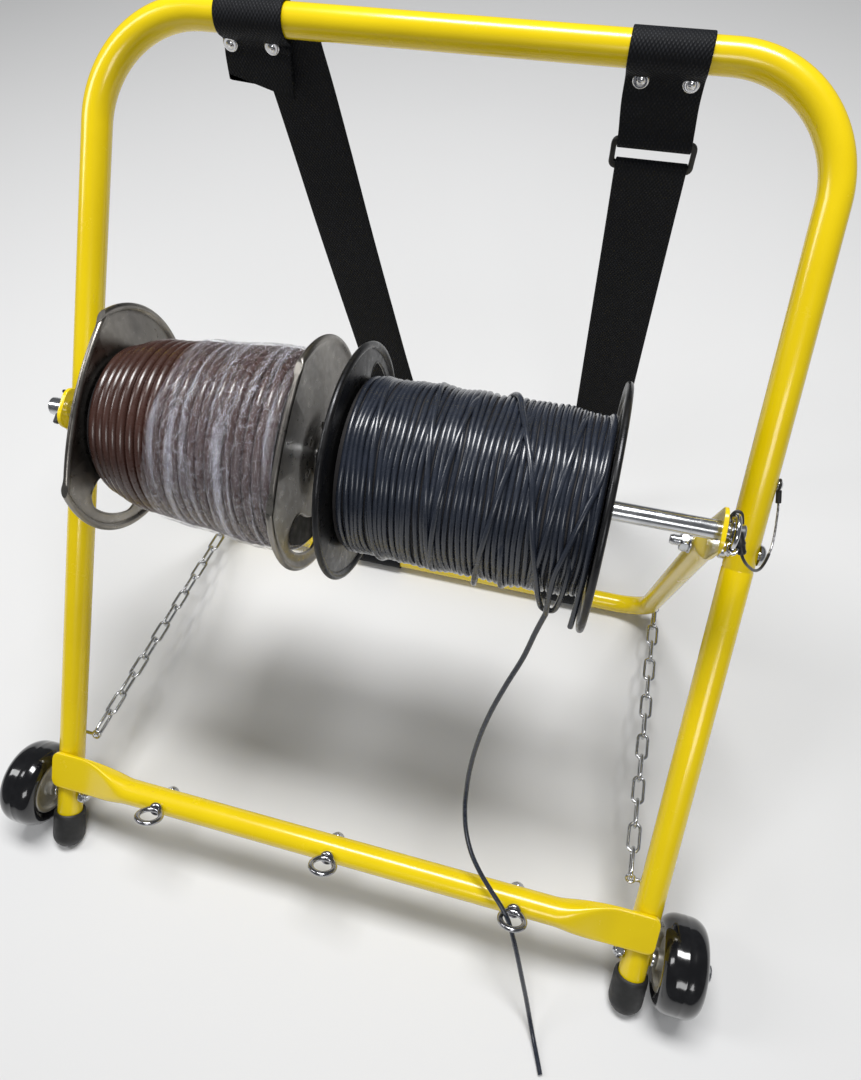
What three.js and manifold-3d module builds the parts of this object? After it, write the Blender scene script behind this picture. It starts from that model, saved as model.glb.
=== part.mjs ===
// Folding wire-spool caddy: a leaning tube frame on two wheels, a rear leg that folds on two
// pivot bolts and carries the spool axle, two wire spools, chains, webbing straps and a lock pin.
// Millimetres, +Z up, the ground at z = 0. The front of the caddy faces -Y.
import * as THREE from 'three';
import { mergeVertices } from 'three/addons/utils/BufferGeometryUtils.js';
import Module from 'manifold-3d';

const wasm = await Module();
wasm.setup();

// ---------- driving dimensions ----------
const LEAN = THREE.MathUtils.degToRad(45);   // the frame leans back from the upright
const FOOT_HEIGHT = 8.4;                     // the leg line's zero point above the ground
const CENTRE_DEPTH = 243.07;                 // front of the ground to the middle of the depth
const GAP = 0.3;                             // clearance between pieces that touch

const TUBE_R = 11;                           // main tube, outside radius
const TUBE_WALL = 1.5;
const LEG_X = 259.5;                         // leg centre line
const LEG_BOTTOM = 14;
const TOP_BAR = 688.5;                       // top bar centre line, along the legs
const TOP_BEND = 78;                         // bend radius of the top corners

const CROSSBAR_AT = 72;                      // crossbar height along the legs
const CROSSBAR_OUT = 16.3;                   // crossbar centre in front of the leg line
const CROSSBAR_HALF = 268.5;
const FLAT_LENGTH = 29;                      // flattened ends of the crossbar
const FLAT_TAPER = 52;
const FLAT_HEIGHT = 34;
const FLAT_THICK = 4;

const GUIDE_X = [-156, 0, 156];              // wire guides along the crossbar
const GUIDE_REACH = 23.5;                    // guide ring centre from the crossbar centre
const GUIDE_RING_R = 9.6;
const GUIDE_WIRE_R = 2.3;
const GUIDE_SHANK_R = 3;

const WHEEL_AT = 42.6;
const WHEEL_X = 292.5;
const WHEEL_R = 37.5;
const WHEEL_HALF = 17;
const HUB_R = 24;
const BOLT_R = 4;

const PIVOT_AT = 382.7;                      // rear leg pivot along the legs
const REAR_R = 9.5;                          // rear leg tube radius
const REAR_X = 234;
const REAR_BEND = 35;
const REAR_BAR = { along: 255.03, back: 250.47 };
const PLATE_X = 232.5;                       // flattened arm ends that hold the axle
const PLATE_THICK = 3;
const PLATE_HEIGHT = 30;
const PLATE_LENGTH = 70;

const AXLE = { along: 404.3, front: 55, r: 6.5, left: -247, right: 246.5 };
const LOCK_X = 240;
const PIN_LEAN = THREE.MathUtils.degToRad(27);   // lock pin head, from down the legs to the front
const LOCK_RING_R = 11;
const LOCK_WIRE_R = 1.8;

const FLANGE_R = 82;
const BARREL_R = 30;
// holeAt is the turn of the flanges' hand hole. The left spool's flanges are flattened on one side, at
// the turn FLAT_AT, where an arc of radius FLAT_R takes over, as far from the axle as flatReach.
// Turns are in degrees from the back towards the top.
const FLAT_AT = 165;
const FLAT_R = 200;
const SPOOLS = {
  left: { from: -188, to: -36, holeAt: 258, flatReach: { outer: 62, inner: 71 },
    wound: [[0.03, 54], [0.25, 63], [0.5, 66], [0.8, 70], [0.97, 69]] },
  right: { from: -11, to: 161, holeAt: 62, wound: [[0.03, 61], [0.3, 62], [0.7, 62], [0.97, 60.5]] },
};

const WEBBING = 50.8;
const WEB_THICK = 1.8;
const RIVET_Z = 477.6;                       // rivet line of the tabs, above the ground
const RIVET_X = { left: -147, right: 143.5 };
const RIVET_HALF = 16;                       // half the distance between a tab's two rivets
const SLIDER_Z = 427.2;
const TAB_X = { left: -141, right: 142.5 };
const FOOT_X = { left: -60, right: 148 };
const STRAP_TOP_X = { left: -121, right: 144.5 };
const CHAIN_X = 242;
const CHAIN_R = 3.5;                         // plain outer radius of the chains
const CHAIN_LOW = { along: 101.5, back: 9 };
const CHAIN_HIGH = 271;                      // along the rear leg arm from the pivot

const SCREW_AT = 433;                        // lanyard screw along the right leg
const LANYARD_R = 1;
const WIRE_R = 1.9;                          // thin wire

const materials = {
  yellow: new THREE.MeshStandardMaterial({ color: 0xf0cf05, roughness: 0.35, metalness: 0.1 }),
  zinc: new THREE.MeshStandardMaterial({ color: 0xb9bcc0, roughness: 0.35, metalness: 0.9 }),
  darkSteel: new THREE.MeshStandardMaterial({ color: 0x57544f, roughness: 0.4, metalness: 0.8 }),
  rubber: new THREE.MeshStandardMaterial({ color: 0x151515, roughness: 0.7, metalness: 0 }),
  tyre: new THREE.MeshStandardMaterial({ color: 0x0c0c0e, roughness: 0.2, metalness: 0 }),
  hub: new THREE.MeshStandardMaterial({ color: 0x8c8a84, roughness: 0.5, metalness: 0.5 }),
  webbing: new THREE.MeshStandardMaterial({ color: 0x0b0c0e, roughness: 0.9, metalness: 0 }),
  plastic: new THREE.MeshStandardMaterial({ color: 0x101012, roughness: 0.4, metalness: 0 }),
  brownWire: new THREE.MeshStandardMaterial({ color: 0x3a2320, roughness: 0.35, metalness: 0 }),
  greyWire: new THREE.MeshStandardMaterial({ color: 0x353b48, roughness: 0.35, metalness: 0 }),
  film: new THREE.MeshStandardMaterial({ color: 0xd9dce0, roughness: 0.15, metalness: 0 }),
};

// ---------- solids ----------
function toManifold(geometry) {
  const bare = geometry.index ? geometry.toNonIndexed() : geometry.clone();
  bare.deleteAttribute('normal');
  bare.deleteAttribute('uv');
  const merged = mergeVertices(bare, 1e-3);
  const index = merged.index.array;
  const kept = [];
  for (let i = 0; i < index.length; i += 3) {
    const [a, b, c] = [index[i], index[i + 1], index[i + 2]];
    if (a !== b && b !== c && a !== c) kept.push(a, b, c);
  }
  const mesh = new wasm.Mesh({
    numProp: 3,
    vertProperties: new Float32Array(merged.attributes.position.array),
    triVerts: new Uint32Array(kept),
  });
  return new wasm.Manifold(mesh);
}

function toGeometry(manifold) {
  const mesh = manifold.getMesh();
  const geometry = new THREE.BufferGeometry();
  geometry.setAttribute('position', new THREE.BufferAttribute(mesh.vertProperties, 3));
  geometry.setIndex(new THREE.BufferAttribute(mesh.triVerts, 1));
  geometry.computeVertexNormals();
  return geometry;
}

function cut(geometry, ...tools) {
  let body = toManifold(geometry);
  for (const tool of tools) body = body.subtract(toManifold(tool));
  return toGeometry(body);
}

function join(geometry, ...others) {
  let body = toManifold(geometry);
  for (const other of others) body = body.add(toManifold(other));
  return toGeometry(body);
}

// A straight rod between two points.
function rod(from, to, radius, sides = 12) {
  const a = new THREE.Vector3(...from);
  const axis = new THREE.Vector3(...to).sub(a);
  const geometry = new THREE.CylinderGeometry(radius, radius, axis.length(), sides);
  const turn = new THREE.Quaternion().setFromUnitVectors(
    new THREE.Vector3(0, 1, 0), axis.clone().normalize());
  return geometry.applyQuaternion(turn).translate(...a.addScaledVector(axis, 0.5));
}

// A profile of [radius, distance] turned about the X axis.
function turned(profile, sides = 24) {
  const points = profile.map(([r, s]) => new THREE.Vector2(r, s));
  points.push(points[0].clone());
  return new THREE.LatheGeometry(points, sides).rotateZ(-Math.PI / 2);
}

function circle(radius, sides) {
  const points = [];
  for (let i = 0; i < sides; i++) {
    const a = (i + 0.5) / sides * 2 * Math.PI;
    points.push(new THREE.Vector2(radius * Math.cos(a), radius * Math.sin(a)));
  }
  return points;
}

// Straight runs joined by round bends, with one step a run and a few steps a bend.
class BentLine extends THREE.Curve {
  constructor(corners, radii, bendSteps = 6) {
    super();
    const p = corners.map((c) => new THREE.Vector3(...c));
    this.stations = [];
    const add = (point, tangent) => this.stations.push({ point, tangent });
    add(p[0], p[1].clone().sub(p[0]).normalize());
    for (let i = 1; i < p.length - 1; i++) {
      const before = p[i].clone().sub(p[i - 1]).normalize();
      const after = p[i + 1].clone().sub(p[i]).normalize();
      this.addBend(p[i], before, after, radii[i - 1], bendSteps, add);
    }
    const last = p.length - 1;
    add(p[last], p[last].clone().sub(p[last - 1]).normalize());
  }

  addBend(corner, before, after, radius, bendSteps, add) {
    const angle = before.angleTo(after);
    if (radius === 0 || angle < 1e-4) {
      add(corner, before.clone().add(after).normalize());
      return;
    }
    const start = corner.clone().addScaledVector(before, -radius * Math.tan(angle / 2));
    const inward = after.clone().addScaledVector(before, -after.dot(before)).normalize();
    const steps = angle < 0.5 ? 2 : bendSteps;
    for (let k = 0; k <= steps; k++) {
      const a = angle * k / steps;
      const point = start.clone().addScaledVector(before, radius * Math.sin(a))
        .addScaledVector(inward, radius * (1 - Math.cos(a)));
      const tangent = before.clone().multiplyScalar(Math.cos(a))
        .addScaledVector(inward, Math.sin(a));
      add(point, tangent.normalize());
    }
  }

  get steps() { return this.stations.length - 1; }
  getPointAt(u) { return this.stations[Math.round(u * this.steps)].point.clone(); }
  getTangentAt(u) { return this.stations[Math.round(u * this.steps)].tangent.clone(); }
}

function tube(path, radius, sides = 12, inner = 0) {
  const section = new THREE.Shape(circle(radius, sides));
  if (inner > 0) section.holes.push(new THREE.Path(circle(inner, sides).reverse()));
  return new THREE.ExtrudeGeometry(section, { extrudePath: path, steps: path.steps });
}

// A cord of even steps along a smooth curve through hand-placed points.
function cord(points, radius, steps) {
  const through = points.map((p) => new THREE.Vector3(...p));
  const curve = new THREE.CatmullRomCurve3(through, false, 'centripetal');
  const section = new THREE.Shape(circle(radius, 8));
  return new THREE.ExtrudeGeometry(section, { extrudePath: curve, steps });
}

// An outline in the Y-Z plane, pulled across X by a width, centred on x.
function across(outline, width, x, holes = []) {
  const shape = new THREE.Shape(outline.map(([y, z]) => new THREE.Vector2(y, z)));
  for (const hole of holes) shape.holes.push(new THREE.Path(hole));
  const geometry = new THREE.ExtrudeGeometry(shape, { depth: width, bevelEnabled: false });
  const basis = new THREE.Matrix4().makeBasis(
    new THREE.Vector3(0, 1, 0), new THREE.Vector3(0, 0, 1), new THREE.Vector3(1, 0, 0));
  return geometry.applyMatrix4(basis).translate(x - width / 2, 0, 0);
}

// ---------- the two frames of reference ----------
// The leaned frame: x across, y backwards off the leg line, z up along the legs.
const model = new THREE.Group();
const leaned = new THREE.Group();
model.position.set(0, -CENTRE_DEPTH, 0);
leaned.position.set(0, 0, FOOT_HEIGHT);
leaned.rotation.x = -LEAN;
model.add(leaned);

// Leaned y and z as upright y and z.
function upright(back, along) {
  return [along * Math.sin(LEAN) + back * Math.cos(LEAN),
    FOOT_HEIGHT + along * Math.cos(LEAN) - back * Math.sin(LEAN)];
}

function add(parent, name, geometry, material) {
  const mesh = new THREE.Mesh(geometry, material);
  mesh.name = name;
  parent.add(mesh);
}

const sides = [['left', -1], ['right', 1]];

// ---------- main frame ----------
const rodX = (x0, x1, back, along, radius, n = 12) =>
  rod([x0, back, along], [x1, back, along], radius, n);

function mainTube() {
  const path = new BentLine([
    [-LEG_X, 0, LEG_BOTTOM], [-LEG_X, 0, TOP_BAR], [LEG_X, 0, TOP_BAR], [LEG_X, 0, LEG_BOTTOM],
  ], [TOP_BEND, TOP_BEND], 6);
  const holes = [];
  for (const [, s] of sides) {
    for (const along of [WHEEL_AT, PIVOT_AT]) {
      holes.push(rodX(s * (LEG_X - 16), s * (LEG_X + 16), 0, along, BOLT_R + GAP, 8));
    }
    holes.push(rodX(s * (LEG_X - 16), s * LEG_X, CHAIN_LOW.back, CHAIN_LOW.along, 1.9, 8));
  }
  holes.push(rodX(LEG_X, LEG_X + 16, 0, SCREW_AT, 1.9, 8));
  return cut(tube(path, TUBE_R, 12, TUBE_R - TUBE_WALL), ...holes);
}

// The crossbar is a tube whose two ends are pressed flat and laid on the front of the legs.
function crossbar() {
  const steps = [-1, -0.92, -0.885, -0.85, -0.81, -0.77, -0.73, -0.69];
  const bar = new THREE.CylinderGeometry(TUBE_R, TUBE_R, 2, 12, 17).rotateZ(-Math.PI / 2);
  const place = bar.attributes.position;
  const ring = [...steps, -0.3, 0.3, ...steps.slice().reverse().map((s) => -s)];
  for (let i = 0; i < place.count; i++) {
    const station = ring[Math.round((place.getX(i) + 1) / 2 * (ring.length - 1))];
    const x = station * CROSSBAR_HALF;
    const t = THREE.MathUtils.smoothstep(
      Math.abs(x), CROSSBAR_HALF - FLAT_LENGTH - FLAT_TAPER, CROSSBAR_HALF - FLAT_LENGTH);
    const back = place.getY(i);
    const along = place.getZ(i);
    const thick = THREE.MathUtils.lerp(1, FLAT_THICK / (2 * TUBE_R), t);
    const tall = THREE.MathUtils.lerp(1, FLAT_HEIGHT / (2 * TUBE_R), t);
    const pressed = -TUBE_R - GAP - FLAT_THICK / 2;
    place.setXYZ(i, x, back * thick + THREE.MathUtils.lerp(-CROSSBAR_OUT, pressed, t),
      along * tall + CROSSBAR_AT);
  }
  const bore = rodX(-175, 175, -CROSSBAR_OUT, CROSSBAR_AT, TUBE_R - TUBE_WALL, 10);
  const holes = GUIDE_X.map((x) =>
    rod([x, -CROSSBAR_OUT - 16, CROSSBAR_AT], [x, -CROSSBAR_OUT + 16, CROSSBAR_AT],
      GUIDE_SHANK_R + GAP, 8));
  return cut(bar, bore, ...holes);
}

function wireGuide(x) {
  const centre = -CROSSBAR_OUT - GUIDE_REACH;
  const ring = new THREE.TorusGeometry(GUIDE_RING_R, GUIDE_WIRE_R, 6, 14)
    .translate(x, centre, CROSSBAR_AT);
  const front = centre + GUIDE_RING_R;
  const shoulder = -CROSSBAR_OUT - TUBE_R - GAP;
  const shank = rod([x, front, CROSSBAR_AT], [x, -CROSSBAR_OUT + 19, CROSSBAR_AT], GUIDE_SHANK_R, 8);
  const collar = rod([x, shoulder - 1.6, CROSSBAR_AT], [x, shoulder, CROSSBAR_AT], 4.6, 8);
  return join(ring, shank, collar);
}

function nut(radius, bore, thickness, from, direction) {
  const to = from.map((value, i) => value + direction[i] * thickness);
  const past = [from.map((v, i) => v - direction[i]), to.map((v, i) => v + direction[i])];
  return cut(rod(from, to, radius, 6), rod(past[0], past[1], bore, 8));
}

// Rubber tip: a socket on the tube end, a round toe, and a flat sole where it stands.
function legTip(x) {
  const wall = TUBE_R + GAP;
  const profile = [[0, LEG_BOTTOM - GAP], [wall, LEG_BOTTOM - GAP], [wall, 24], [14, 24], [14, 0]];
  for (let k = 1; k <= 4; k++) {
    const a = k / 4 * Math.PI / 2;
    profile.push([14 * Math.cos(a), -14 * Math.sin(a)]);
  }
  const points = profile.reverse().map(([r, z]) => new THREE.Vector2(Math.max(r, 0), z));
  const tip = new THREE.LatheGeometry(points, 14).rotateX(Math.PI / 2).translate(x, 0, 0);
  const ground = new THREE.BoxGeometry(80, 80, 40).translate(x, 0, -20);
  ground.translate(0, 0, -FOOT_HEIGHT).rotateX(LEAN);
  return cut(tip, ground);
}

add(leaned, 'main_tube', mainTube(), materials.yellow);
add(leaned, 'crossbar', crossbar(), materials.yellow);
['left', 'centre', 'right'].forEach((side, i) => {
  const x = GUIDE_X[i];
  add(leaned, `wire_guide_${side}`, wireGuide(x), materials.zinc);
  const behind = [x, -CROSSBAR_OUT + TUBE_R + GAP, CROSSBAR_AT];
  add(leaned, `guide_nut_${side}`, nut(6, GUIDE_SHANK_R + GAP, 5, behind, [0, 1, 0]), materials.zinc);
});

// ---------- wheels ----------
function tyre(x) {
  const w = WHEEL_HALF;
  return turned([[HUB_R + GAP, -w + 2], [29, -w], [33.5, -w + 2.5], [36.4, -w + 7], [WHEEL_R, -w + 13],
    [WHEEL_R, w - 13], [36.4, w - 7], [33.5, w - 2.5], [29, w], [HUB_R + GAP, w - 2]], 20)
    .translate(x, 0, WHEEL_AT);
}

function hub(x) {
  const w = WHEEL_HALF;
  return turned([[BOLT_R + GAP, -w - 1], [8, -w - 1], [8, -w + 5], [20, -w + 4], [21, -w + 1],
    [HUB_R, -w + 1], [HUB_R, w - 1], [21, w - 1], [20, w - 4], [8, w - 5], [8, w + 1],
    [BOLT_R + GAP, w + 1]], 16).translate(x, 0, WHEEL_AT);
}

// A ring on a bolt, between two distances from the middle of the caddy.
function spacer(s, from, to, along) {
  const ring = turned([[BOLT_R + GAP, from], [7, from], [7, to], [BOLT_R + GAP, to]], 10);
  if (s < 0) ring.rotateZ(Math.PI);
  return ring.translate(0, 0, along);
}

function bolt(s, headFrom, headThick, tip, back, along) {
  const head = rodX(s * headFrom, s * (headFrom + headThick), back, along, 7.5, 6);
  return join(head, rodX(s * (headFrom + 0.5), s * tip, back, along, BOLT_R, 8));
}

for (const [side, s] of sides) {
  add(leaned, `leg_tip_${side}`, legTip(s * LEG_X), materials.rubber);
  add(leaned, `tyre_${side}`, tyre(s * WHEEL_X), materials.tyre);
  add(leaned, `hub_${side}`, hub(s * WHEEL_X), materials.hub);
  const wheelBolt = bolt(s, WHEEL_X + WHEEL_HALF + 1.4, 6, 240, 0, WHEEL_AT);
  add(leaned, `wheel_bolt_${side}`, wheelBolt, materials.zinc);
  const inside = [s * (LEG_X - TUBE_R - GAP), 0, WHEEL_AT];
  add(leaned, `wheel_nut_${side}`, nut(7.5, BOLT_R + GAP, 6, inside, [-s, 0, 0]), materials.zinc);
  const hubFace = WHEEL_X - WHEEL_HALF - 1;
  const wheelSpacer = spacer(s, LEG_X + TUBE_R + GAP, hubFace - GAP, WHEEL_AT);
  add(leaned, `wheel_spacer_${side}`, wheelSpacer, materials.zinc);
}

// ---------- rear leg ----------
const armAngle = Math.atan2(PIVOT_AT - REAR_BAR.along, REAR_BAR.back);
const plateAngle = Math.atan2(AXLE.along - PIVOT_AT, AXLE.front);
const onArm = (distance) =>
  [distance * Math.cos(armAngle), PIVOT_AT - distance * Math.sin(armAngle)];
const onPlate = (distance) =>
  [-distance * Math.cos(plateAngle), PIVOT_AT + distance * Math.sin(plateAngle)];

// The arm ends are pressed flat ahead of the pivot into two upright plates for the axle.
function pressPlates(geometry) {
  const place = geometry.attributes.position;
  const along = new THREE.Vector2(...onPlate(1)).sub(new THREE.Vector2(...onPlate(0)));
  for (let i = 0; i < place.count; i++) {
    const x = place.getX(i);
    const off = new THREE.Vector2(place.getY(i), place.getZ(i) - PIVOT_AT);
    const reach = off.dot(along);
    const t = THREE.MathUtils.smoothstep(reach, 9, 30);
    if (t === 0) continue;
    const side = Math.sign(x);
    const thin = THREE.MathUtils.lerp(1, PLATE_THICK / (2 * REAR_R), t);
    const tall = THREE.MathUtils.lerp(1, PLATE_HEIGHT / (2 * REAR_R), t);
    const middle = THREE.MathUtils.lerp(REAR_X, PLATE_X, t);
    const across = off.addScaledVector(along, -reach).multiplyScalar(tall);
    place.setXYZ(i, side * middle + (x - side * REAR_X) * thin,
      across.x + along.x * reach, across.y + along.y * reach + PIVOT_AT);
  }
  return geometry;
}

function rearLeg() {
  const arm = (s) => [PLATE_LENGTH, 30, 25, 20, 15, 10].map((d) => [s * REAR_X, ...onPlate(d)])
    .concat([[s * REAR_X, 0, PIVOT_AT], [s * REAR_X, REAR_BAR.back, REAR_BAR.along]]);
  const corners = [...arm(-1), ...arm(1).reverse()];
  const radii = corners.slice(1, -1).map(([, back]) => (back === REAR_BAR.back ? REAR_BEND : 0));
  const shell = pressPlates(tube(new BentLine(corners, radii, 5), REAR_R, 10));
  const hollowEnd = (s) => [s * REAR_X, ...onArm(-3)];
  const hollow = new BentLine([hollowEnd(-1), [-REAR_X, REAR_BAR.back, REAR_BAR.along],
    [REAR_X, REAR_BAR.back, REAR_BAR.along], hollowEnd(1)], [REAR_BEND, REAR_BEND], 4);
  const holes = [];
  for (const [, s] of sides) {
    holes.push(rodX(s * (REAR_X - 16), s * (REAR_X + 16), 0, PIVOT_AT, BOLT_R + 2 * GAP, 8));
    holes.push(rodX(s * (PLATE_X - 8), s * (PLATE_X + 8), -AXLE.front, AXLE.along, AXLE.r + GAP, 14));
    holes.push(rodX(s * 222, s * 250, ...onArm(CHAIN_HIGH), 1.9, 8));
  }
  return cut(shell, tube(hollow, REAR_R - TUBE_WALL, 8), ...holes);
}

add(leaned, 'rear_leg', rearLeg(), materials.yellow);
for (const [side, s] of sides) {
  const pivotBolt = bolt(s, LEG_X + TUBE_R + GAP, 5, 210, 0, PIVOT_AT);
  add(leaned, `pivot_bolt_${side}`, pivotBolt, materials.zinc);
  const inner = [s * (REAR_X - REAR_R - GAP), 0, PIVOT_AT];
  add(leaned, `pivot_nut_${side}`, nut(7.5, BOLT_R + GAP, 7, inner, [-s, 0, 0]), materials.zinc);
  const pivotSpacer = spacer(s, REAR_X + REAR_R + GAP, LEG_X - TUBE_R - GAP, PIVOT_AT);
  add(leaned, `pivot_spacer_${side}`, pivotSpacer, materials.zinc);
}

// ---------- axle, cross pin and lock pin ----------
const onAxle = (x, up) =>
  [x, -AXLE.front - up * Math.sin(PIN_LEAN), AXLE.along - up * Math.cos(PIN_LEAN)];

function axleRod() {
  const bar = rodX(AXLE.left, AXLE.right, -AXLE.front, AXLE.along, AXLE.r, 14);
  const holes = [-LOCK_X, LOCK_X].map((x) => rod(onAxle(x, -9), onAxle(x, 9), 2.2 + GAP, 8));
  return cut(bar, ...holes);
}

function lockPin() {
  const shaft = rod(onAxle(LOCK_X, -8.8), onAxle(LOCK_X, LOCK_RING_R - 2.8), 2.2, 8);
  const hinge = new THREE.Vector3(...onAxle(LOCK_X, LOCK_RING_R));
  const side = new THREE.Vector3(0, -Math.cos(PIN_LEAN), Math.sin(PIN_LEAN));
  const end = (d) => hinge.clone().addScaledVector(side, d).toArray();
  return cut(join(shaft, rod(end(-3.5), end(3.5), 4.2, 12)), rod(end(-6), end(6), LOCK_WIRE_R + 0.9, 10));
}

function lockRing() {
  return new THREE.TorusGeometry(LOCK_RING_R, LOCK_WIRE_R, 6, 16).rotateY(Math.PI / 2)
    .translate(...onAxle(LOCK_X, 0));
}

add(leaned, 'axle_rod', axleRod(), materials.zinc);
add(leaned, 'axle_cross_pin', rod(onAxle(-LOCK_X, -13), onAxle(-LOCK_X, 13), 2.2, 8), materials.darkSteel);
add(leaned, 'lock_pin', lockPin(), materials.zinc);
add(leaned, 'lock_ring', lockRing(), materials.zinc);

// ---------- spools ----------
// A cutter shaped like a piece of a ring, facing a turn in degrees, its centre moved along that turn.
function ringPiece(low, high, half, turn, moved = 0) {
  const shape = new THREE.Shape();
  shape.absarc(0, 0, high, -half, half, false);
  shape.absarc(0, 0, low, half, -half, true);
  return new THREE.ExtrudeGeometry(shape, { depth: 8, bevelEnabled: false, curveSegments: 4 })
    .translate(moved, 0, -4).rotateZ(Math.PI / 2 + THREE.MathUtils.degToRad(turn)).rotateY(Math.PI / 2);
}

// A flange is pressed sheet with a rolled rim, one hand hole and, given its reach, a flattened side.
function flange(x, holeAt, flatReach) {
  const plate = turned([[8, -0.7], [77, -0.7], [78, -2.4], [81, -2.4], [FLANGE_R, 0], [81, 2.4],
    [78, 2.4], [77, 0.7], [8, 0.7]], 20);
  const cutters = [ringPiece(42, 70, 0.5, holeAt)];
  if (flatReach) cutters.push(ringPiece(FLAT_R, FLAT_R + 50, 0.4, FLAT_AT, flatReach - FLAT_R));
  return cut(plate, ...cutters).translate(x, -AXLE.front, AXLE.along);
}

function barrel({ from, to }) {
  const half = (to - from) / 2 - 3.3;
  const inner = BARREL_R - 1.5;
  return turned([[inner, -half], [BARREL_R, -half], [BARREL_R, half], [inner, half]], 20)
    .translate((from + to) / 2, -AXLE.front, AXLE.along);
}

// The wound wire as one ring whose outside follows how full the spool is along its width.
function winding({ from, to, wound }) {
  const profile = [[BARREL_R + GAP, wound[0][0]], ...wound.map(([share, r]) => [r, share]),
    [BARREL_R + GAP, wound[wound.length - 1][0]]];
  return turned(profile.map(([r, share]) => [r, share * (to - from)]), 20)
    .translate(from, -AXLE.front, AXLE.along);
}

// Clear film round the fuller two thirds of the left winding.
function shrinkFilm({ from, to, wound }) {
  const covered = wound.filter(([share]) => share >= 0.5);
  const start = [0.28, 64.2];
  const outline = [start, ...covered].map(([share, r]) => [r + 0.6, share * (to - from)]);
  const outer = outline.map(([r, s]) => [r + 0.8, s]).reverse();
  return turned([...outline, ...outer].reverse(), 20).translate(from, -AXLE.front, AXLE.along);
}

for (const [side] of sides) {
  const spool = SPOOLS[side];
  const flangeEnds = [spool.from + 2.5, spool.to - 2.5];
  const [outerX, innerX] = side === 'left' ? flangeEnds : flangeEnds.reverse();
  const flat = spool.flatReach;
  add(leaned, `spool_${side}_flange_outer`, flange(outerX, spool.holeAt, flat?.outer), materials.darkSteel);
  add(leaned, `spool_${side}_flange_inner`, flange(innerX, spool.holeAt, flat?.inner), materials.darkSteel);
  add(leaned, `spool_${side}_barrel`, barrel(spool), materials.darkSteel);
  const jacket = side === 'left' ? materials.brownWire : materials.greyWire;
  add(leaned, `wound_wire_${side}`, winding(spool), jacket);
}
add(leaned, 'shrink_film', shrinkFilm(SPOOLS.left), materials.film);

// ---------- chains ----------
const chainHigh = onArm(CHAIN_HIGH);
const chainLow = [CHAIN_LOW.back, CHAIN_LOW.along];

// Screw eye: its ring lies in the plane of the chain and its shank runs sideways into the tube.
function screwEye(s, [back, along], shankX) {
  const eye = new THREE.TorusGeometry(3.4, 1.2, 5, 10).rotateX(Math.PI / 2)
    .translate(s * CHAIN_X, back, along);
  const near = CHAIN_X + Math.sign(shankX - CHAIN_X) * 3.4;
  return join(eye, rodX(s * near, s * shankX, back, along, 1.5, 6));
}

for (const [side, s] of sides) {
  add(leaned, `chain_eye_low_${side}`, screwEye(s, chainLow, LEG_X - 3), materials.zinc);
  add(leaned, `chain_eye_high_${side}`, screwEye(s, chainHigh, 224), materials.zinc);
  const a = new THREE.Vector3(s * CHAIN_X, ...chainLow);
  const b = new THREE.Vector3(s * CHAIN_X, ...chainHigh);
  const reach = b.clone().sub(a).normalize();
  const chain = rod(a.addScaledVector(reach, 5.5).toArray(), b.addScaledVector(reach, -5.5).toArray(),
    CHAIN_R, 8);
  add(leaned, `chain_${side}`, chain, materials.zinc);
}

// ---------- webbing ----------
const [barY, barZ] = upright(0, TOP_BAR);
const [rearY, rearZ] = upright(REAR_BAR.back, REAR_BAR.along);

// A loop of webbing round a tube, with a doubled tail in the direction given in degrees.
function webLoop(centreY, centreZ, innerR, tailLength, direction) {
  const half = WEB_THICK + 0.2;
  const outerR = innerR + WEB_THICK;
  const turn = THREE.MathUtils.degToRad(direction);
  const spread = Math.asin(half / outerR) + 0.22;
  const outline = [];
  for (let k = 0; k <= 14; k++) {
    const a = turn + spread + (2 * Math.PI - 2 * spread) * k / 14;
    outline.push([centreY + outerR * Math.cos(a), centreZ + outerR * Math.sin(a)]);
  }
  const side = [-Math.sin(turn), Math.cos(turn)];
  for (const [reach, s] of [[innerR + 2.5, -1], [innerR + tailLength, -1], [innerR + tailLength, 1],
    [innerR + 2.5, 1]]) {
    outline.push([centreY + reach * Math.cos(turn) + s * half * side[0],
      centreZ + reach * Math.sin(turn) + s * half * side[1]]);
  }
  const hole = circle(innerR, 14).map((p) => new THREE.Vector2(p.x + centreY, p.y + centreZ));
  return { outline, hole };
}

function strapTab(side, tailLength) {
  const { outline, hole } = webLoop(barY, barZ, TUBE_R + 0.5, tailLength, -90);
  const loop = across(outline, WEBBING, TAB_X[side], [hole]);
  const holes = [-RIVET_HALF, RIVET_HALF].map((d) => {
    const x = RIVET_X[side] + d;
    const shank = rod([x, barY - 10, RIVET_Z], [x, barY + 10, RIVET_Z], 2.3, 8);
    const frontSeat = rod([x, barY - 10, RIVET_Z], [x, barY - 2.1, RIVET_Z], 4.9, 10);
    const rearSeat = rod([x, barY + 2.1, RIVET_Z], [x, barY + 10, RIVET_Z], 4.9, 10);
    return join(shank, frontSeat, rearSeat);
  });
  return cut(loop, ...holes);
}

function rivet(x) {
  const head = rod([x, barY - 3.6, RIVET_Z], [x, barY - 2.3, RIVET_Z], 4.6, 10);
  const back = rod([x, barY + 2.3, RIVET_Z], [x, barY + 3.4, RIVET_Z], 4.5, 10);
  return join(head, back, rod([x, barY - 3, RIVET_Z], [x, barY + 3, RIVET_Z], 2, 8));
}

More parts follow.
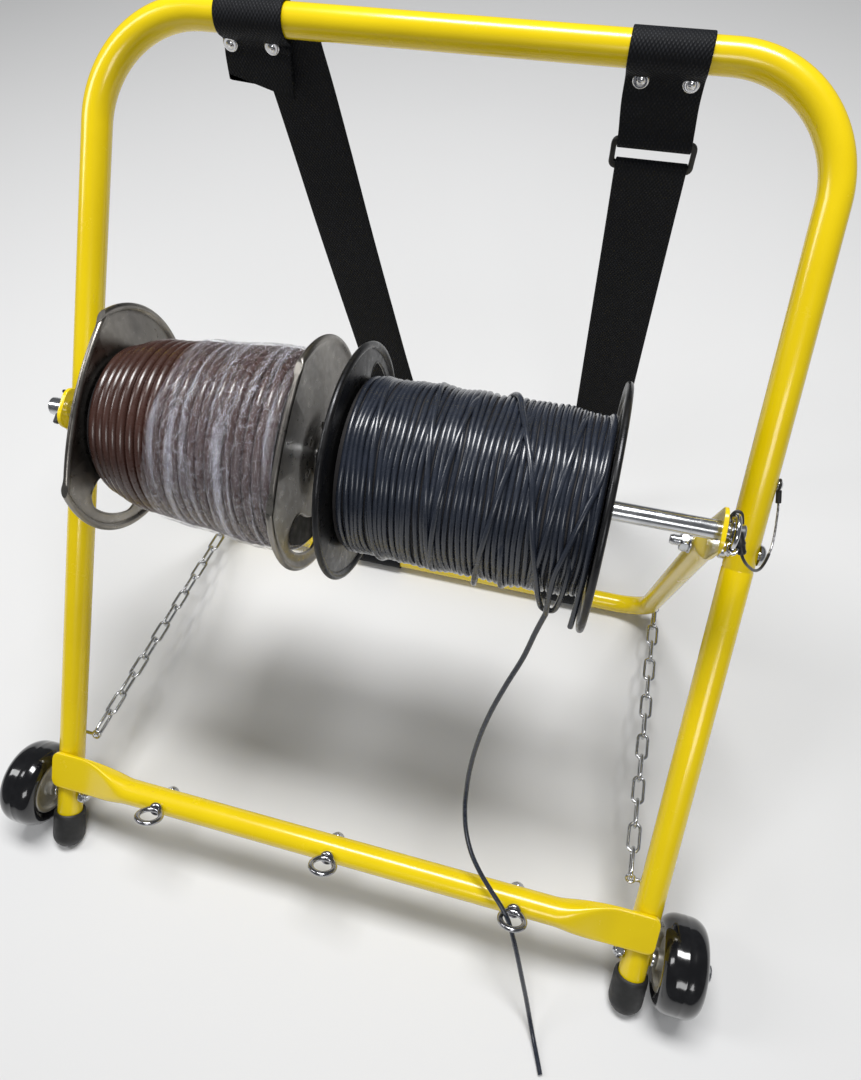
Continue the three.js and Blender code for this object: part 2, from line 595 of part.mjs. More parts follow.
// A band of webbing along points in the Y-Z plane, drifting sideways from one x to another.
function band(points, fromX, toX) {
  const line = points.map(([y, z]) => new THREE.Vector2(y, z));
  const edge = (sign) => line.map((p, i) => {
    const run = line[Math.min(i + 1, line.length - 1)].clone().sub(line[Math.max(i - 1, 0)]).normalize();
    return [p.x - run.y * sign * WEB_THICK / 2, p.y + run.x * sign * WEB_THICK / 2];
  });
  const geometry = across([...edge(1), ...edge(-1).reverse()], WEBBING, 0);
  const place = geometry.attributes.position;
  const span = line[0].y - line[line.length - 1].y;
  for (let i = 0; i < place.count; i++) {
    const share = THREE.MathUtils.clamp((line[0].y - place.getZ(i)) / span, 0, 1);
    place.setX(i, place.getX(i) + THREE.MathUtils.lerp(fromX, toX, share));
  }
  return geometry;
}

// A flat rectangular loop that joins the right tab to its strap.
function slider(x, z) {
  const frameOf = (w, h) => [[-w, -h], [w, -h], [w, h], [-w, h]].map(([a, b]) => new THREE.Vector2(a, b));
  const shape = new THREE.Shape(frameOf(31, 11.5));
  shape.holes.push(new THREE.Path(frameOf(26, 7)));
  const geometry = new THREE.ExtrudeGeometry(shape, { depth: 3.6, bevelEnabled: false });
  return geometry.translate(0, 0, -1.8).rotateX(Math.PI / 2).translate(x, barY, z);
}

const SLIDER_TOP = SLIDER_Z + 11.5;
const tailEnd = { left: 38, right: barZ - (SLIDER_TOP + GAP) - TUBE_R - 0.5 };
for (const [side] of sides) {
  add(model, `strap_tab_${side}`, strapTab(side, tailEnd[side]), materials.webbing);
  add(model, `strap_rivet_${side}_a`, rivet(RIVET_X[side] - RIVET_HALF), materials.zinc);
  add(model, `strap_rivet_${side}_b`, rivet(RIVET_X[side] + RIVET_HALF), materials.zinc);
  const { outline, hole } = webLoop(rearY, rearZ, REAR_R + GAP, 28, 0);
  add(model, `strap_foot_${side}`, across(outline, WEBBING, FOOT_X[side], [hole]), materials.webbing);
}
add(model, 'strap_slider_right', slider(STRAP_TOP_X.right, SLIDER_Z), materials.plastic);

const strapRun = [[barY, 60], [barY - 1, 38], [barY - 7, 20], [barY - 18, 8], [barY - 35, 3],
  [barY - 62, 3], [rearY + 50, 8], [rearY + REAR_R + 28 + 1, rearZ]];
const strapTop = {
  left: [[barY + 5, 478], [barY + 5, 450], [barY + 2, 400]],
  right: [[barY, SLIDER_Z - 11.5 - GAP], [barY, 300]],
};
for (const [side] of sides) {
  const strap = band([...strapTop[side], ...strapRun], STRAP_TOP_X[side], FOOT_X[side]);
  add(model, `strap_${side}`, strap, materials.webbing);
}

// ---------- lock pin lanyard and the loose end of wire ----------
const lanyardRoute = [
  [244, -61.5, 400], [245.2, -61.8, 395.7], [247.2, -61, 391.6], [250.5, -57.5, 387.6], [255.5, -49.5, 383.4],
  [261.2, -40, 380], [266.3, -31, 379.8], [270.3, -23, 383.3], [273.2, -16, 388.8], [274.6, -12, 394],
  [275.1, -8.5, 401], [274.8, -5.5, 410], [274.2, -3, 418.5], [273, -1.5, 425], [272.6, -1.2, 428.2],
];
add(leaned, 'lanyard', cord(lanyardRoute, LANYARD_R, 24), materials.plastic);
const screw = join(rodX(LEG_X + TUBE_R + GAP, LEG_X + TUBE_R + 3, 0, SCREW_AT, 3.6, 12),
  rodX(LEG_X + 2, LEG_X + TUBE_R + 2, 0, SCREW_AT, 1.6, 8));
add(leaned, 'lanyard_screw', screw, materials.zinc);

const wireRoute = [
  [135.6, 178, 305], [131.5, 173, 286], [126.5, 164, 262], [118, 151.5, 236], [110, 138, 208],
  [104.5, 124, 180], [102, 111, 156], [101.8, 99, 138], [103.2, 87, 124.5], [107.5, 73, 112.5],
  [115, 59.5, 104], [125, 48, 98.5], [136, 38, 94.5],
  [146, 29.5, 90.5], [152.5, 22.8, 86], [159, 13, 76],
  [166, 1, 62], [173, -11.5, 45], [180, -24, 27], [186.5, -37, 12.5], [193, -51, 4.6], [198.5, -63, 2.5],
  [202, -71, 2.3],
];
add(model, 'free_wire', cord(wireRoute, WIRE_R, 54), materials.greyWire);

export default model;
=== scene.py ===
import math

import bmesh
import bpy
from mathutils import Matrix, Vector, noise


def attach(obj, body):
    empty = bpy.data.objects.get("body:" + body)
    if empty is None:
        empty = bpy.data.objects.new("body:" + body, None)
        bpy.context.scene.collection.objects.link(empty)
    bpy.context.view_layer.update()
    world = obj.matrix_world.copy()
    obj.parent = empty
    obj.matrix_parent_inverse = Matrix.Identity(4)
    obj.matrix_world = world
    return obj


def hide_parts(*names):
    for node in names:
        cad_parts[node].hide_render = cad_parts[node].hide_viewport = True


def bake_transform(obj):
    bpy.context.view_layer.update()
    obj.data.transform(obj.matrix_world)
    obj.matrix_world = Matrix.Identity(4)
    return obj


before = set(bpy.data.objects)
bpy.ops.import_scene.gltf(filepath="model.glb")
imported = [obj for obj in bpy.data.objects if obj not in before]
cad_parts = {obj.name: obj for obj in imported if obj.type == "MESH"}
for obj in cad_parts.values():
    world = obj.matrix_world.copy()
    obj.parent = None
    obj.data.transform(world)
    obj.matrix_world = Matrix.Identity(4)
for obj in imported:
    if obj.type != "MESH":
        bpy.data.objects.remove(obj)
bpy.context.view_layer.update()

# Sizes are in millimetres here, and MM turns them into metres when a mesh is made.
MM = 0.001
SIDES = (("left", -1), ("right", 1))

# ---------- driving dimensions ----------
LEAN = math.radians(45)
FOOT_HEIGHT = 8.4
CENTRE_DEPTH = 243.07
UPRIGHT = Matrix.Translation((0, -CENTRE_DEPTH, 0))
LEANED = UPRIGHT @ Matrix.Translation((0, 0, FOOT_HEIGHT)) @ Matrix.Rotation(-LEAN, 4, "X")

TUBE_R = 11
LEG_X = 259.5
LEG_BOTTOM = 14
TOP_BAR = 688.5
TOP_BEND = 78
CROSSBAR_AT = 72
CROSSBAR_OUT = 16.3
CROSSBAR_HALF = 268.5
FLAT_LENGTH = 29
FLAT_TAPER = 52
FLAT_HEIGHT = 34
FLAT_THICK = 4
GUIDE_X = {"left": -156, "centre": 0, "right": 156}
GUIDE_REACH = 23.5
GUIDE_RING_R = 9.6
GUIDE_WIRE_R = 2.3

WHEEL_AT = 42.6
WHEEL_X = 292.5
WHEEL_R = 37.5
WHEEL_HALF = 17
# the toes are cut flat this far above the ground, in metres
STANDS_AT = 0.0001

PIVOT_AT = 382.7
REAR_R = 9.5
REAR_X = 234
REAR_BEND = 35
REAR_ALONG = 255.03
REAR_BACK = 250.47
PLATE_X = 232.5
PLATE_THICK = 3
PLATE_HEIGHT = 30
PLATE_LENGTH = 70
# how far past the pivot the rear leg stays round, and from where it is a plate
TUBE_TO = 9
PLATE_FROM = 30
AXLE_ALONG = 404.3
AXLE_FRONT = 55
AXLE_R = 6.5
AXLE_ENDS = (-247, 246.5)
LOCK_X = 240
LOCK_RING_R = 11
PIN_LEAN = math.radians(27)

FLANGE_R = 82
BARREL_R = 30
# hole_at is the hand hole's turn in degrees, wire its diameter, loose how unevenly the turns lie, and
# wound the winding's outer shape as (share of the width, radius).
SPOOLS = {
    "left": {"from": -188, "to": -36, "hole_at": 258, "wire": 6.3, "loose": 0.35,
             "wound": [(0.03, 54), (0.25, 63), (0.5, 66), (0.8, 70), (0.97, 69)]},
    "right": {"from": -11, "to": 161, "hole_at": 62, "wire": 3.8, "loose": 1.1,
              "wound": [(0.03, 61), (0.3, 62), (0.7, 62), (0.97, 60.5)]},
}
# The left spool's flanges are flattened on one side, where an arc of FLAT_R takes over.
FLAT_AT = math.radians(165)
FLAT_REACH = {"outer": 62, "inner": 71}
FLAT_R = 200
# the middle of the rolled rim
RIM_LINE = 79.4
FILM_FROM = 0.38
FILM_SLANT = 0.05
FILM_TOP = math.radians(80)

WEBBING = 50.8
WEB_THICK = 1.6
TAB_X = {"left": -141, "right": 142.5}
FOOT_X = {"left": -60, "right": 148}
STRAP_TOP_X = {"left": -121, "right": 144.5}
RIVET_Z = 477.6
RIVET_X = {"left": -147, "right": 143.5}
RIVET_HALF = 16
SLIDER_Z = 427.2
SLIDER_HALF = (27.6, 8.8)
CHAIN_X = 242
# back and along the frame's leg, and the distance down the rear leg's arm
CHAIN_LOW = (9, 101.5)
CHAIN_HIGH = 271
CHAIN_LINKS = 13
LINK_WIRE_R = 1.5
LINK_WIDTH = 12
SCREW_AT = 433
# the length of the lanyard's sleeve
BARE_FROM = 66


def across_legs(back, along):
    """Leaned back and along as upright y and z."""
    point = LEANED @ Vector((0, back, along))
    return point.y + CENTRE_DEPTH, point.z


def eased(share):
    """A share kept between 0 and 1, with a soft start and end."""
    t = min(max(share, 0), 1)
    return t * t * (3 - 2 * t)


# ---------- camera ----------
def make_camera():
    data = bpy.data.cameras.new("camera")
    data.sensor_width = 36
    data.lens = 25.37
    camera = bpy.data.objects.new("camera", data)
    bpy.context.collection.objects.link(camera)
    right = Vector((0.96519, 0.25754, -0.04557))
    down = Vector((0.19538, -0.82580, -0.52903))
    forward = Vector((-0.17388, 0.50171, -0.84738))
    turn = Matrix((right, -down, -forward)).transposed().to_4x4()
    place = Vector((139.963, -46.024 - CENTRE_DEPTH, 745.307)) * MM
    camera.matrix_world = Matrix.Translation(place) @ turn
    bpy.context.scene.camera = camera


make_camera()


# ---------- shapes: a shape is a list of points and a list of faces ----------
def full_turn(count):
    """The angles of a whole turn in even steps."""
    return [2 * math.pi * k / count for k in range(count)]


def quarter_turn(steps):
    """The angles of a quarter turn in even steps, without its start."""
    return [math.pi / 2 * k / steps for k in range(1, steps + 1)]


def merged(*shapes):
    points, faces = [], []
    for more_points, more_faces in shapes:
        start = len(points)
        points += more_points
        faces += [[i + start for i in face] for face in more_faces]
    return points, faces


def moved(shape, matrix):
    return [matrix @ p for p in shape[0]], shape[1]


def skin(rings, closed=False):
    """A closed surface over rings of as many points each."""
    count = len(rings[0])
    points = [p for ring in rings for p in ring]
    faces = []
    last = len(rings) if closed else len(rings) - 1
    for i in range(last):
        a, b = i * count, (i + 1) % len(rings) * count
        for j in range(count):
            k = (j + 1) % count
            faces.append([a + j, a + k, b + k, b + j])
    if not closed:
        faces.append(list(range(count))[::-1])
        faces.append([len(points) - count + j for j in range(count)])
    return points, faces


def turned(profile, sides=64, closed=True):
    """A profile of (radius, distance) turned about the X axis."""
    rings = []
    for r, s in profile:
        rings.append([Vector((s, r * math.cos(a), r * math.sin(a))) for a in full_turn(sides)])
    return skin(rings, closed)


def rounded(corners, radius, steps=3, closed=True):
    """An outline of 2-D corners with round ones in their place."""
    out = []
    for i, corner in enumerate(corners):
        here = Vector(corner)
        if not closed and i in (0, len(corners) - 1):
            out.append(here)
            continue
        before = Vector(corners[i - 1]) - here
        after = Vector(corners[(i + 1) % len(corners)]) - here
        half = before.angle(after) / 2
        if half > math.radians(86):
            out.append(here)
            continue
        reach = min(radius / math.tan(half), 0.45 * before.length, 0.45 * after.length)
        r = reach * math.tan(half)
        inward = (before.normalized() + after.normalized()).normalized()
        centre = here + inward * (r / math.sin(half))
        start = here + before.normalized() * reach - centre
        end = here + after.normalized() * reach - centre
        for k in range(steps + 1):
            out.append(centre + start.lerp(end, k / steps).normalized() * r)
    return out


def bent(corners, radii, step=math.radians(5)):
    """Points along straight runs joined by round bends."""
    corners = [Vector(c) for c in corners]
    points = [corners[0]]
    for i, radius in enumerate(radii, 1):
        before = (corners[i] - corners[i - 1]).normalized()
        after = (corners[i + 1] - corners[i]).normalized()
        angle = before.angle(after)
        if radius == 0 or angle < 1e-4:
            points.append(corners[i])
            continue
        start = corners[i] - before * radius * math.tan(angle / 2)
        inward = (after - before * after.dot(before)).normalized()
        steps = max(2, round(angle / step))
        for k in range(steps + 1):
            a = angle * k / steps
            points.append(start + before * radius * math.sin(a) + inward * radius * (1 - math.cos(a)))
    return points + [corners[-1]]


def smooth(points, spacing):
    """Evenly spaced points on a centripetal curve through given ones."""
    points = [Vector(p) for p in points]
    padded = [2 * points[0] - points[1], *points, 2 * points[-1] - points[-2]]
    dense = []
    for i in range(1, len(padded) - 2):
        near = padded[i - 1:i + 3]
        knots = [0.0]
        for a, b in zip(near, near[1:]):
            knots.append(knots[-1] + math.sqrt((b - a).length))
        for k in range(24):
            dense.append(between(near, knots, knots[1] + (knots[2] - knots[1]) * k / 24))
    dense.append(points[-1])
    return evenly(dense, spacing)


def between(near, knots, t):
    """The point at t on the curve of four neighbours, by repeated blending of pairs."""
    def blend(a, b, low, high):
        return a + (b - a) * ((t - low) / (high - low))

    ends = [blend(near[j], near[j + 1], knots[j], knots[j + 1]) for j in range(3)]
    pair = [blend(ends[j], ends[j + 1], knots[j], knots[j + 2]) for j in range(2)]
    return blend(pair[0], pair[1], knots[1], knots[2])


def evenly(points, spacing):
    lengths = [0.0]
    for a, b in zip(points, points[1:]):
        lengths.append(lengths[-1] + (b - a).length)
    count = max(2, round(lengths[-1] / spacing))
    out, i = [], 0
    for k in range(count + 1):
        want = lengths[-1] * k / count
        while i < len(points) - 2 and lengths[i + 1] < want:
            i += 1
        share = (want - lengths[i]) / max(lengths[i + 1] - lengths[i], 1e-9)
        out.append(points[i].lerp(points[i + 1], min(share, 1)))
    return out


def sweep(path, section, side=(1, 0, 0), closed=False):
    """Sections along a path. section is a list of 2-D points, or a function of the station's number.
    Their first axis starts at side, and turns with the path without twisting."""
    count = len(path)
    rings = []
    normal = Vector(side)
    for i, point in enumerate(path):
        ahead = path[(i + 1) % count] if closed else path[min(i + 1, count - 1)]
        behind = path[i - 1] if closed or i else path[0]
        tangent = (ahead - behind).normalized()
        normal = (normal - tangent * normal.dot(tangent)).normalized()
        other = tangent.cross(normal)
        outline = section(i) if callable(section) else section
        rings.append([point + normal * a + other * b for a, b in outline])
    return skin(rings, closed)


def circle(radius, sides=24):
    return [(radius * math.cos(a), radius * math.sin(a)) for a in full_turn(sides)]


def pressed(a, b, power, sides=40):
    """A section between a circle, at power 2, and a plate with rounded edges."""
    out = []
    for k in range(sides):
        angle = 2 * math.pi * (k + 0.5) / sides
        c, s = math.cos(angle), math.sin(angle)
        out.append((a * math.copysign(abs(c) ** (2 / power), c),
                    b * math.copysign(abs(s) ** (2 / power), s)))
    return out


def tube(path, radius, sides=24, side=(1, 0, 0), closed=False):
    return sweep(path, circle(radius, sides), side, closed)


def torus(centre, normal, major, minor, around=48, sides=16):
    turn = Vector((0, 0, 1)).rotation_difference(Vector(normal))
    path = [Vector(centre) + turn @ Vector((major * math.cos(a), major * math.sin(a), 0))
            for a in full_turn(around)]
    return tube(path, minor, sides, side=turn @ Vector((0, 0, 1)), closed=True)


def facing(start, direction):
    """A matrix that takes a shape turned about X to one that starts at a point and runs in a direction."""
    turn = Vector((1, 0, 0)).rotation_difference(Vector(direction).normalized())
    return Matrix.Translation(start) @ turn.to_matrix().to_4x4()


def lathed(profile, sides, start, direction, closed=False):
    """A profile turned about the line from a start in a direction."""
    return moved(turned(profile, sides, closed), facing(start, direction))


def bar(start, direction, length, radius, sides=24, chamfer=0.5):
    profile = [(0.01, 0), (radius - chamfer, 0), (radius, chamfer), (radius, length - chamfer),
               (radius - chamfer, length), (0.01, length)]
    return lathed(profile, sides, start, direction)


def thread(start, direction, length, radius, pitch=1.25):
    """A threaded stretch, with its end chamfered."""
    profile = [(0.01, 0), (radius - 0.6, 0)]
    for k in range(int(length / pitch) - 1):
        profile += [(radius - 0.62, (k + 0.1) * pitch), (radius, (k + 0.5) * pitch),
                    (radius, (k + 0.62) * pitch)]
    profile += [(radius - 0.9, length), (0.01, length)]
    return lathed(profile, 28, start, direction)


def hexagon(start, direction, length, radius, bore=0.0, chamfer_both=True):
    """A nut or bolt head: a hexagon with its corners turned off at the ends."""
    flat = radius * math.cos(math.pi / 6)
    sides = 48
    levels = [(0.0, flat * 0.97), (0.22 * (radius - flat) + 0.05, flat * 1.03),
              (0.16 * length + 0.3, radius)]
    stations = levels + [(length - d, r) for d, r in reversed(levels)]
    if not chamfer_both:
        stations = [(0.0, radius)] + stations[3:]
    rings = []
    for s, cone in stations:
        ring = []
        for a in full_turn(sides):
            off = (a + math.pi / 6) % (math.pi / 3) - math.pi / 6
            r = min(cone, flat / math.cos(off))
            ring.append(Vector((s, r * math.cos(a), r * math.sin(a))))
        rings.append(ring)
    inner = max(bore, 0.01)
    for s in (length, 0.0):
        rings.append([Vector((s, u, v)) for u, v in circle(inner, sides)])
    return moved(skin(rings, closed=True), facing(start, direction))


def washer(start, direction, length, radius, bore):
    profile = rounded([(bore, 0), (radius, 0), (radius, length), (bore, length)], length * 0.3)
    return lathed(profile, 40, start, direction, closed=True)


def ribbon(path, width, thick, across=(1, 0, 0), slant=None):
    """A band of webbing along a path, with rounded edges. Returns its shape and each point's place in
    the weave, across and along. slant moves the last end along the path by an amount for each place
    across."""
    half, edge = width / 2, thick / 2
    section = []
    for k in range(9):
        section.append((edge, -half + edge + (width - 2 * edge) * k / 8))
    for k in range(1, 4):
        a = math.pi * k / 4
        section.append((edge * math.cos(a), half - edge + edge * math.sin(a)))
    for k in range(9):
        section.append((-edge, half - edge - (width - 2 * edge) * k / 8))
    for k in range(1, 4):
        a = math.pi * k / 4
        section.append((-edge * math.cos(a), -half + edge - edge * math.sin(a)))
    rings, run = [], []
    travelled = 0.0
    for i, point in enumerate(path):
        ahead = path[min(i + 1, len(path) - 1)]
        behind = path[max(i - 1, 0)]
        tangent = (ahead - behind).normalized()
        wide = Vector(across)
        wide = (wide - tangent * wide.dot(tangent)).normalized()
        up = wide.cross(tangent)
        travelled += (point - path[i - 1]).length if i else 0
        ring = []
        for a, b in section:
            shift = Vector((0, 0, 0))
            if slant and i == len(path) - 1:
                shift = tangent * slant(b)
            ring.append(point + up * a + wide * b + shift)
            run.append(Vector((b, travelled, 0)) * MM)
        rings.append(ring)
    return skin(rings), run


# ---------- making a piece ----------
def piece(name, shape, look, body=None, replaces=(), place=LEANED, sharp=40, run=None):
    """One object from a shape in millimetres, in the leaned frame unless place says otherwise."""
    points, faces = moved(shape, place)
    mesh = bpy.data.meshes.new(name)
    mesh.from_pydata([p * MM for p in points], [], faces)
    if run:
        places = mesh.attributes.new("run", "FLOAT_VECTOR", "POINT")
        places.data.foreach_set("vector", [c for v in run for c in v])
    work = bmesh.new()
    work.from_mesh(mesh)
    bmesh.ops.recalc_face_normals(work, faces=work.faces)
    work.to_mesh(mesh)
    work.free()
    mesh.shade_smooth()
    mesh.set_sharp_from_angle(angle=math.radians(sharp))
    mesh.materials.append(look)
    obj = bpy.data.objects.new(name, mesh)
    bpy.context.collection.objects.link(obj)
    if body:
        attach(obj, body)
    if replaces:
        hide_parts(*replaces)
    return obj


# ---------- materials ----------
class Look:
    """A procedural material: a Principled shader with noises in metres."""

    def __init__(self, name, color, roughness, metallic=0.0, **more):
        self.material = bpy.data.materials.new(name)
        self.material.use_nodes = True
        self.tree = self.material.node_tree
        self.shader = self.tree.nodes["Principled BSDF"]
        self.set("Base Color", (*color, 1))
        self.set("Roughness", roughness)
        self.set("Metallic", metallic)
        for key, value in more.items():
            self.set(key.replace("_", " ").title().replace("Ior", "IOR"), value)
        self.place = self.node("ShaderNodeTexCoord").outputs["Object"]

    def node(self, kind, **inputs):
        made = self.tree.nodes.new(kind)
        for key, value in inputs.items():
            self.link(made.inputs[key.replace("_", " ")], value)
        return made

    def link(self, socket, value):
        if isinstance(value, bpy.types.NodeSocket):
            self.tree.links.new(value, socket)
        else:
            socket.default_value = value

    def set(self, name, value):
        self.link(self.shader.inputs[name], value)

    def noise(self, size, detail=3.0, rough=0.55, stretch=(1, 1, 1), distort=0.0):
        """Noise with features of a size in metres, longer by stretch."""
        scaled = self.node("ShaderNodeMapping", Vector=self.place,
                           Scale=tuple(1 / (size * s) for s in stretch)).outputs[0]
        return self.node("ShaderNodeTexNoise", Vector=scaled, Scale=1.0, Detail=detail,
                         Roughness=rough, Distortion=distort).outputs[0]

    def run(self):
        """Each point's own place across and along its band or cord, in metres."""
        place = self.node("ShaderNodeAttribute")
        place.attribute_name = "run"
        return self.node("ShaderNodeSeparateXYZ", Vector=place.outputs["Vector"])

    def spread(self, value, low, high, to_low=0.0, to_high=1.0):
        made = self.node("ShaderNodeMapRange")
        for index, item in enumerate((value, low, high, to_low, to_high)):
            self.link(made.inputs[index], item)
        return made.outputs[0]

    def mix(self, share, a, b):
        made = self.tree.nodes.new("ShaderNodeMix")
        made.data_type = "RGBA"
        self.link(made.inputs["Factor"], share)
        for socket, value in ((made.inputs[6], a), (made.inputs[7], b)):
            self.link(socket, (*value, 1) if isinstance(value, tuple) else value)
        return made.outputs[2]

    def math(self, operation, a, b=0.0):
        made = self.tree.nodes.new("ShaderNodeMath")
        made.operation = operation
        self.link(made.inputs[0], a)
        self.link(made.inputs[1], b)
        return made.outputs[0]

    def blotched(self, blotches, low, high, a, b):
        """A base colour that goes from a to b where a noise goes from low to high."""
        self.set("Base Color", self.mix(self.spread(blotches, low, high), a, b))

    def uneven(self, patches, low, high, a, b):
        """A roughness that goes from a to b where a noise goes from low to high."""
        self.set("Roughness", self.spread(patches, low, high, a, b))

    def bump(self, height, strength, depth):
        """Adds a height of a depth in metres to what the material has already."""
        made = self.node("ShaderNodeBump", Height=height, Strength=strength, Distance=depth)
        if self.shader.inputs["Normal"].is_linked:
            self.link(made.inputs["Normal"], self.shader.inputs["Normal"].links[0].from_socket)
        self.set("Normal", made.outputs[0])


def yellow_paint():
    look = Look("yellow_powder_coat", (0.83, 0.61, 0.002), 0.26, coat_weight=0.4, coat_roughness=0.1)
    look.blotched(look.noise(0.09, 4), 0.35, 0.7, (0.79, 0.575, 0.001), (0.86, 0.65, 0.003))
    scuff = look.spread(look.noise(0.012, 6, 0.7, (1, 1, 3)), 0.62, 0.74)
    look.uneven(scuff, 0, 1, 0.24, 0.42)
    look.bump(look.noise(0.0016, 2), 0.1, 0.0001)
    look.bump(look.noise(0.02, 2), 0.05, 0.0004)
    return look.material


def plated(name, color, roughness):
    """Plated steel: a faint cloudy bloom, fine rubbed marks and slightly uneven gloss."""
    look = Look(name, color, roughness, 1.0)
    darker = tuple(c * 0.8 for c in color)
    look.blotched(look.noise(0.012, 5, 0.6), 0.4, 0.75, color, darker)
    look.uneven(look.noise(0.006, 4), 0.3, 0.7, roughness - 0.05, roughness + 0.09)
    look.bump(look.noise(0.0011, 3, 0.6, (5, 1, 1)), 0.06, 0.00003)
    look.bump(look.noise(0.011, 2), 0.12, 0.0003)
    return look.material


def spool_steel():
    look = Look("spool_steel", (0.27, 0.25, 0.225), 0.3, 1.0)
    look.blotched(look.noise(0.03, 5, 0.6, (1, 1, 2)), 0.35, 0.7, (0.33, 0.31, 0.28), (0.17, 0.16, 0.15))
    look.uneven(look.noise(0.006, 5, 0.7), 0.3, 0.7, 0.24, 0.42)
    look.bump(look.noise(0.0006, 4, 0.6, (1, 1, 6)), 0.15, 0.00006)
    look.bump(look.noise(0.05, 2), 0.25, 0.0012)
    return look.material


def spool_black():
    look = Look("spool_black_steel", (0.035, 0.035, 0.037), 0.3, 0.85)
    look.blotched(look.noise(0.03, 5, 0.6), 0.35, 0.7, (0.05, 0.05, 0.052), (0.018, 0.018, 0.02))
    look.uneven(look.noise(0.006, 5, 0.7), 0.3, 0.7, 0.22, 0.42)
    look.bump(look.noise(0.05, 2), 0.25, 0.0012)
    return look.material


def dull(name, color, roughness, grain, depth, **more):
    """Rubber, plastic and plain painted parts: a grain in the surface and cloudy wear."""
    look = Look(name, color, roughness, **more)
    worn = tuple(c * 1.5 + 0.006 for c in color)
    look.blotched(look.noise(0.015, 5, 0.65), 0.45, 0.8, color, worn)
    look.uneven(look.noise(0.008, 4), 0.3, 0.7, roughness * 0.85, min(roughness * 1.3, 1))
    look.bump(look.noise(grain, 3), 0.3, depth)
    return look.material


def insulation(name, color, roughness):
    """Extruded wire jacket: faint length-wise flow lines and rubbed places."""
    look = Look(name, color, roughness, coat_weight=0.4, coat_roughness=0.16)
    rubbed = tuple(c * 1.35 + 0.003 for c in color)
    look.blotched(look.noise(0.02, 5, 0.6), 0.4, 0.75, color, rubbed)
    look.uneven(look.noise(0.004, 5, 0.7), 0.3, 0.75, roughness - 0.06, roughness + 0.15)
    look.bump(look.noise(0.0008, 3, 0.5, (0.4, 1, 1)), 0.12, 0.00008)
    return look.material


def webbing():
    """Ribbed black webbing. The weave follows each point's own place across and along the band."""
    look = Look("black_webbing", (0.004, 0.0045, 0.006), 0.6, specular_ior_level=0.22)
    part = look.run()
    rib, pick = 0.0013, 0.0019
    wave_across = look.math("SINE", look.math("MULTIPLY", part.outputs[0], math.pi / rib))
    wave_along = look.math("SINE", look.math("MULTIPLY", part.outputs[1], math.pi / pick))
    weave = look.math("MULTIPLY", wave_across, wave_along)
    crest = look.spread(weave, 0.1, 1.0)
    # The weave's crests are painted a lighter colour as a highlight, broken up by a noise.
    crest_highlight = look.math("MULTIPLY", crest, look.spread(look.noise(0.006, 3), 0.4, 0.7))
    look.set("Base Color", look.mix(crest_highlight, (0.0022, 0.0028, 0.0045), (0.013, 0.015, 0.021)))
    look.uneven(crest, 0, 1, 0.7, 0.42)
    look.bump(look.spread(weave, -1, 1), 0.9, 0.0005)
    look.bump(look.noise(0.03, 3), 0.2, 0.0015)
    return look.material


def clear_film():
    """Clear film: hardly seen but for its gloss, with a few milky streaks along the turns and fine
    crinkles."""
    look = Look("clear_film", (0.88, 0.88, 0.97), 0.08, metallic=0.95)
    streak = look.spread(look.noise(0.009, 3, 0.5, (0.5, 9, 9)), 0.5, 0.68, 0.07, 0.42)
    fleck = look.spread(look.noise(0.004, 6, 0.75, distort=1.2), 0.58, 0.68, 0, 0.6)
    look.set("Alpha", look.math("ADD", streak, fleck))
    look.bump(look.noise(0.004, 6, 0.75, (0.6, 1.4, 1.4), distort=1.4), 1.0, 0.0022)
    look.bump(look.noise(0.0014, 4, 0.7, (0.6, 2, 2)), 0.6, 0.0006)
    return look.material


def lanyard_cord():
    """Black sleeve near the lock pin, and bare bright strands above it."""
    look = Look("lanyard_cord", (0.012, 0.012, 0.013), 0.35)
    travelled = look.run().outputs[1]
    bare = look.spread(travelled, (BARE_FROM - 0.5) * MM, (BARE_FROM + 0.5) * MM)
    steel = look.spread(look.noise(0.0016, 3), 0.4, 0.6)
    strands = look.mix(steel, (0.16, 0.16, 0.17), (0.55, 0.55, 0.57))
    look.set("Base Color", look.mix(bare, (0.012, 0.012, 0.013), strands))
    look.set("Metallic", bare)
    look.bump(look.noise(0.0009, 3), 0.3, 0.0001)
    return look.material


YELLOW = yellow_paint()
ZINC = plated("zinc_plate", (0.66, 0.67, 0.69), 0.2)
CHROME = plated("bright_plate", (0.72, 0.72, 0.74), 0.11)
DARK_PLATE = plated("dark_plate", (0.42, 0.42, 0.44), 0.17)
SPOOL_STEEL = spool_steel()
SPOOL_BLACK = spool_black()
RUBBER = dull("black_rubber", (0.012, 0.012, 0.012), 0.5, 0.0012, 0.0001)
TYRE = dull("black_tyre", (0.004, 0.004, 0.005), 0.13, 0.002, 0.00004, coat_weight=0.6, coat_roughness=0.05)
HUB = dull("hub_grey", (0.34, 0.33, 0.30), 0.4, 0.0008, 0.00006, metallic=0.6)
PLASTIC = dull("black_plastic", (0.012, 0.012, 0.013), 0.32, 0.0009, 0.00008)
WEB = webbing()
BROWN_WIRE = insulation("brown_wire", (0.046, 0.019, 0.014), 0.26)
GREY_WIRE = insulation("grey_wire", (0.017, 0.021, 0.032), 0.24)
WIRE_SHADE = dull("wire_shade", (0.012, 0.010, 0.011), 0.6, 0.002, 0.0002)
FILM = clear_film()
LANYARD_LOOK = lanyard_cord()


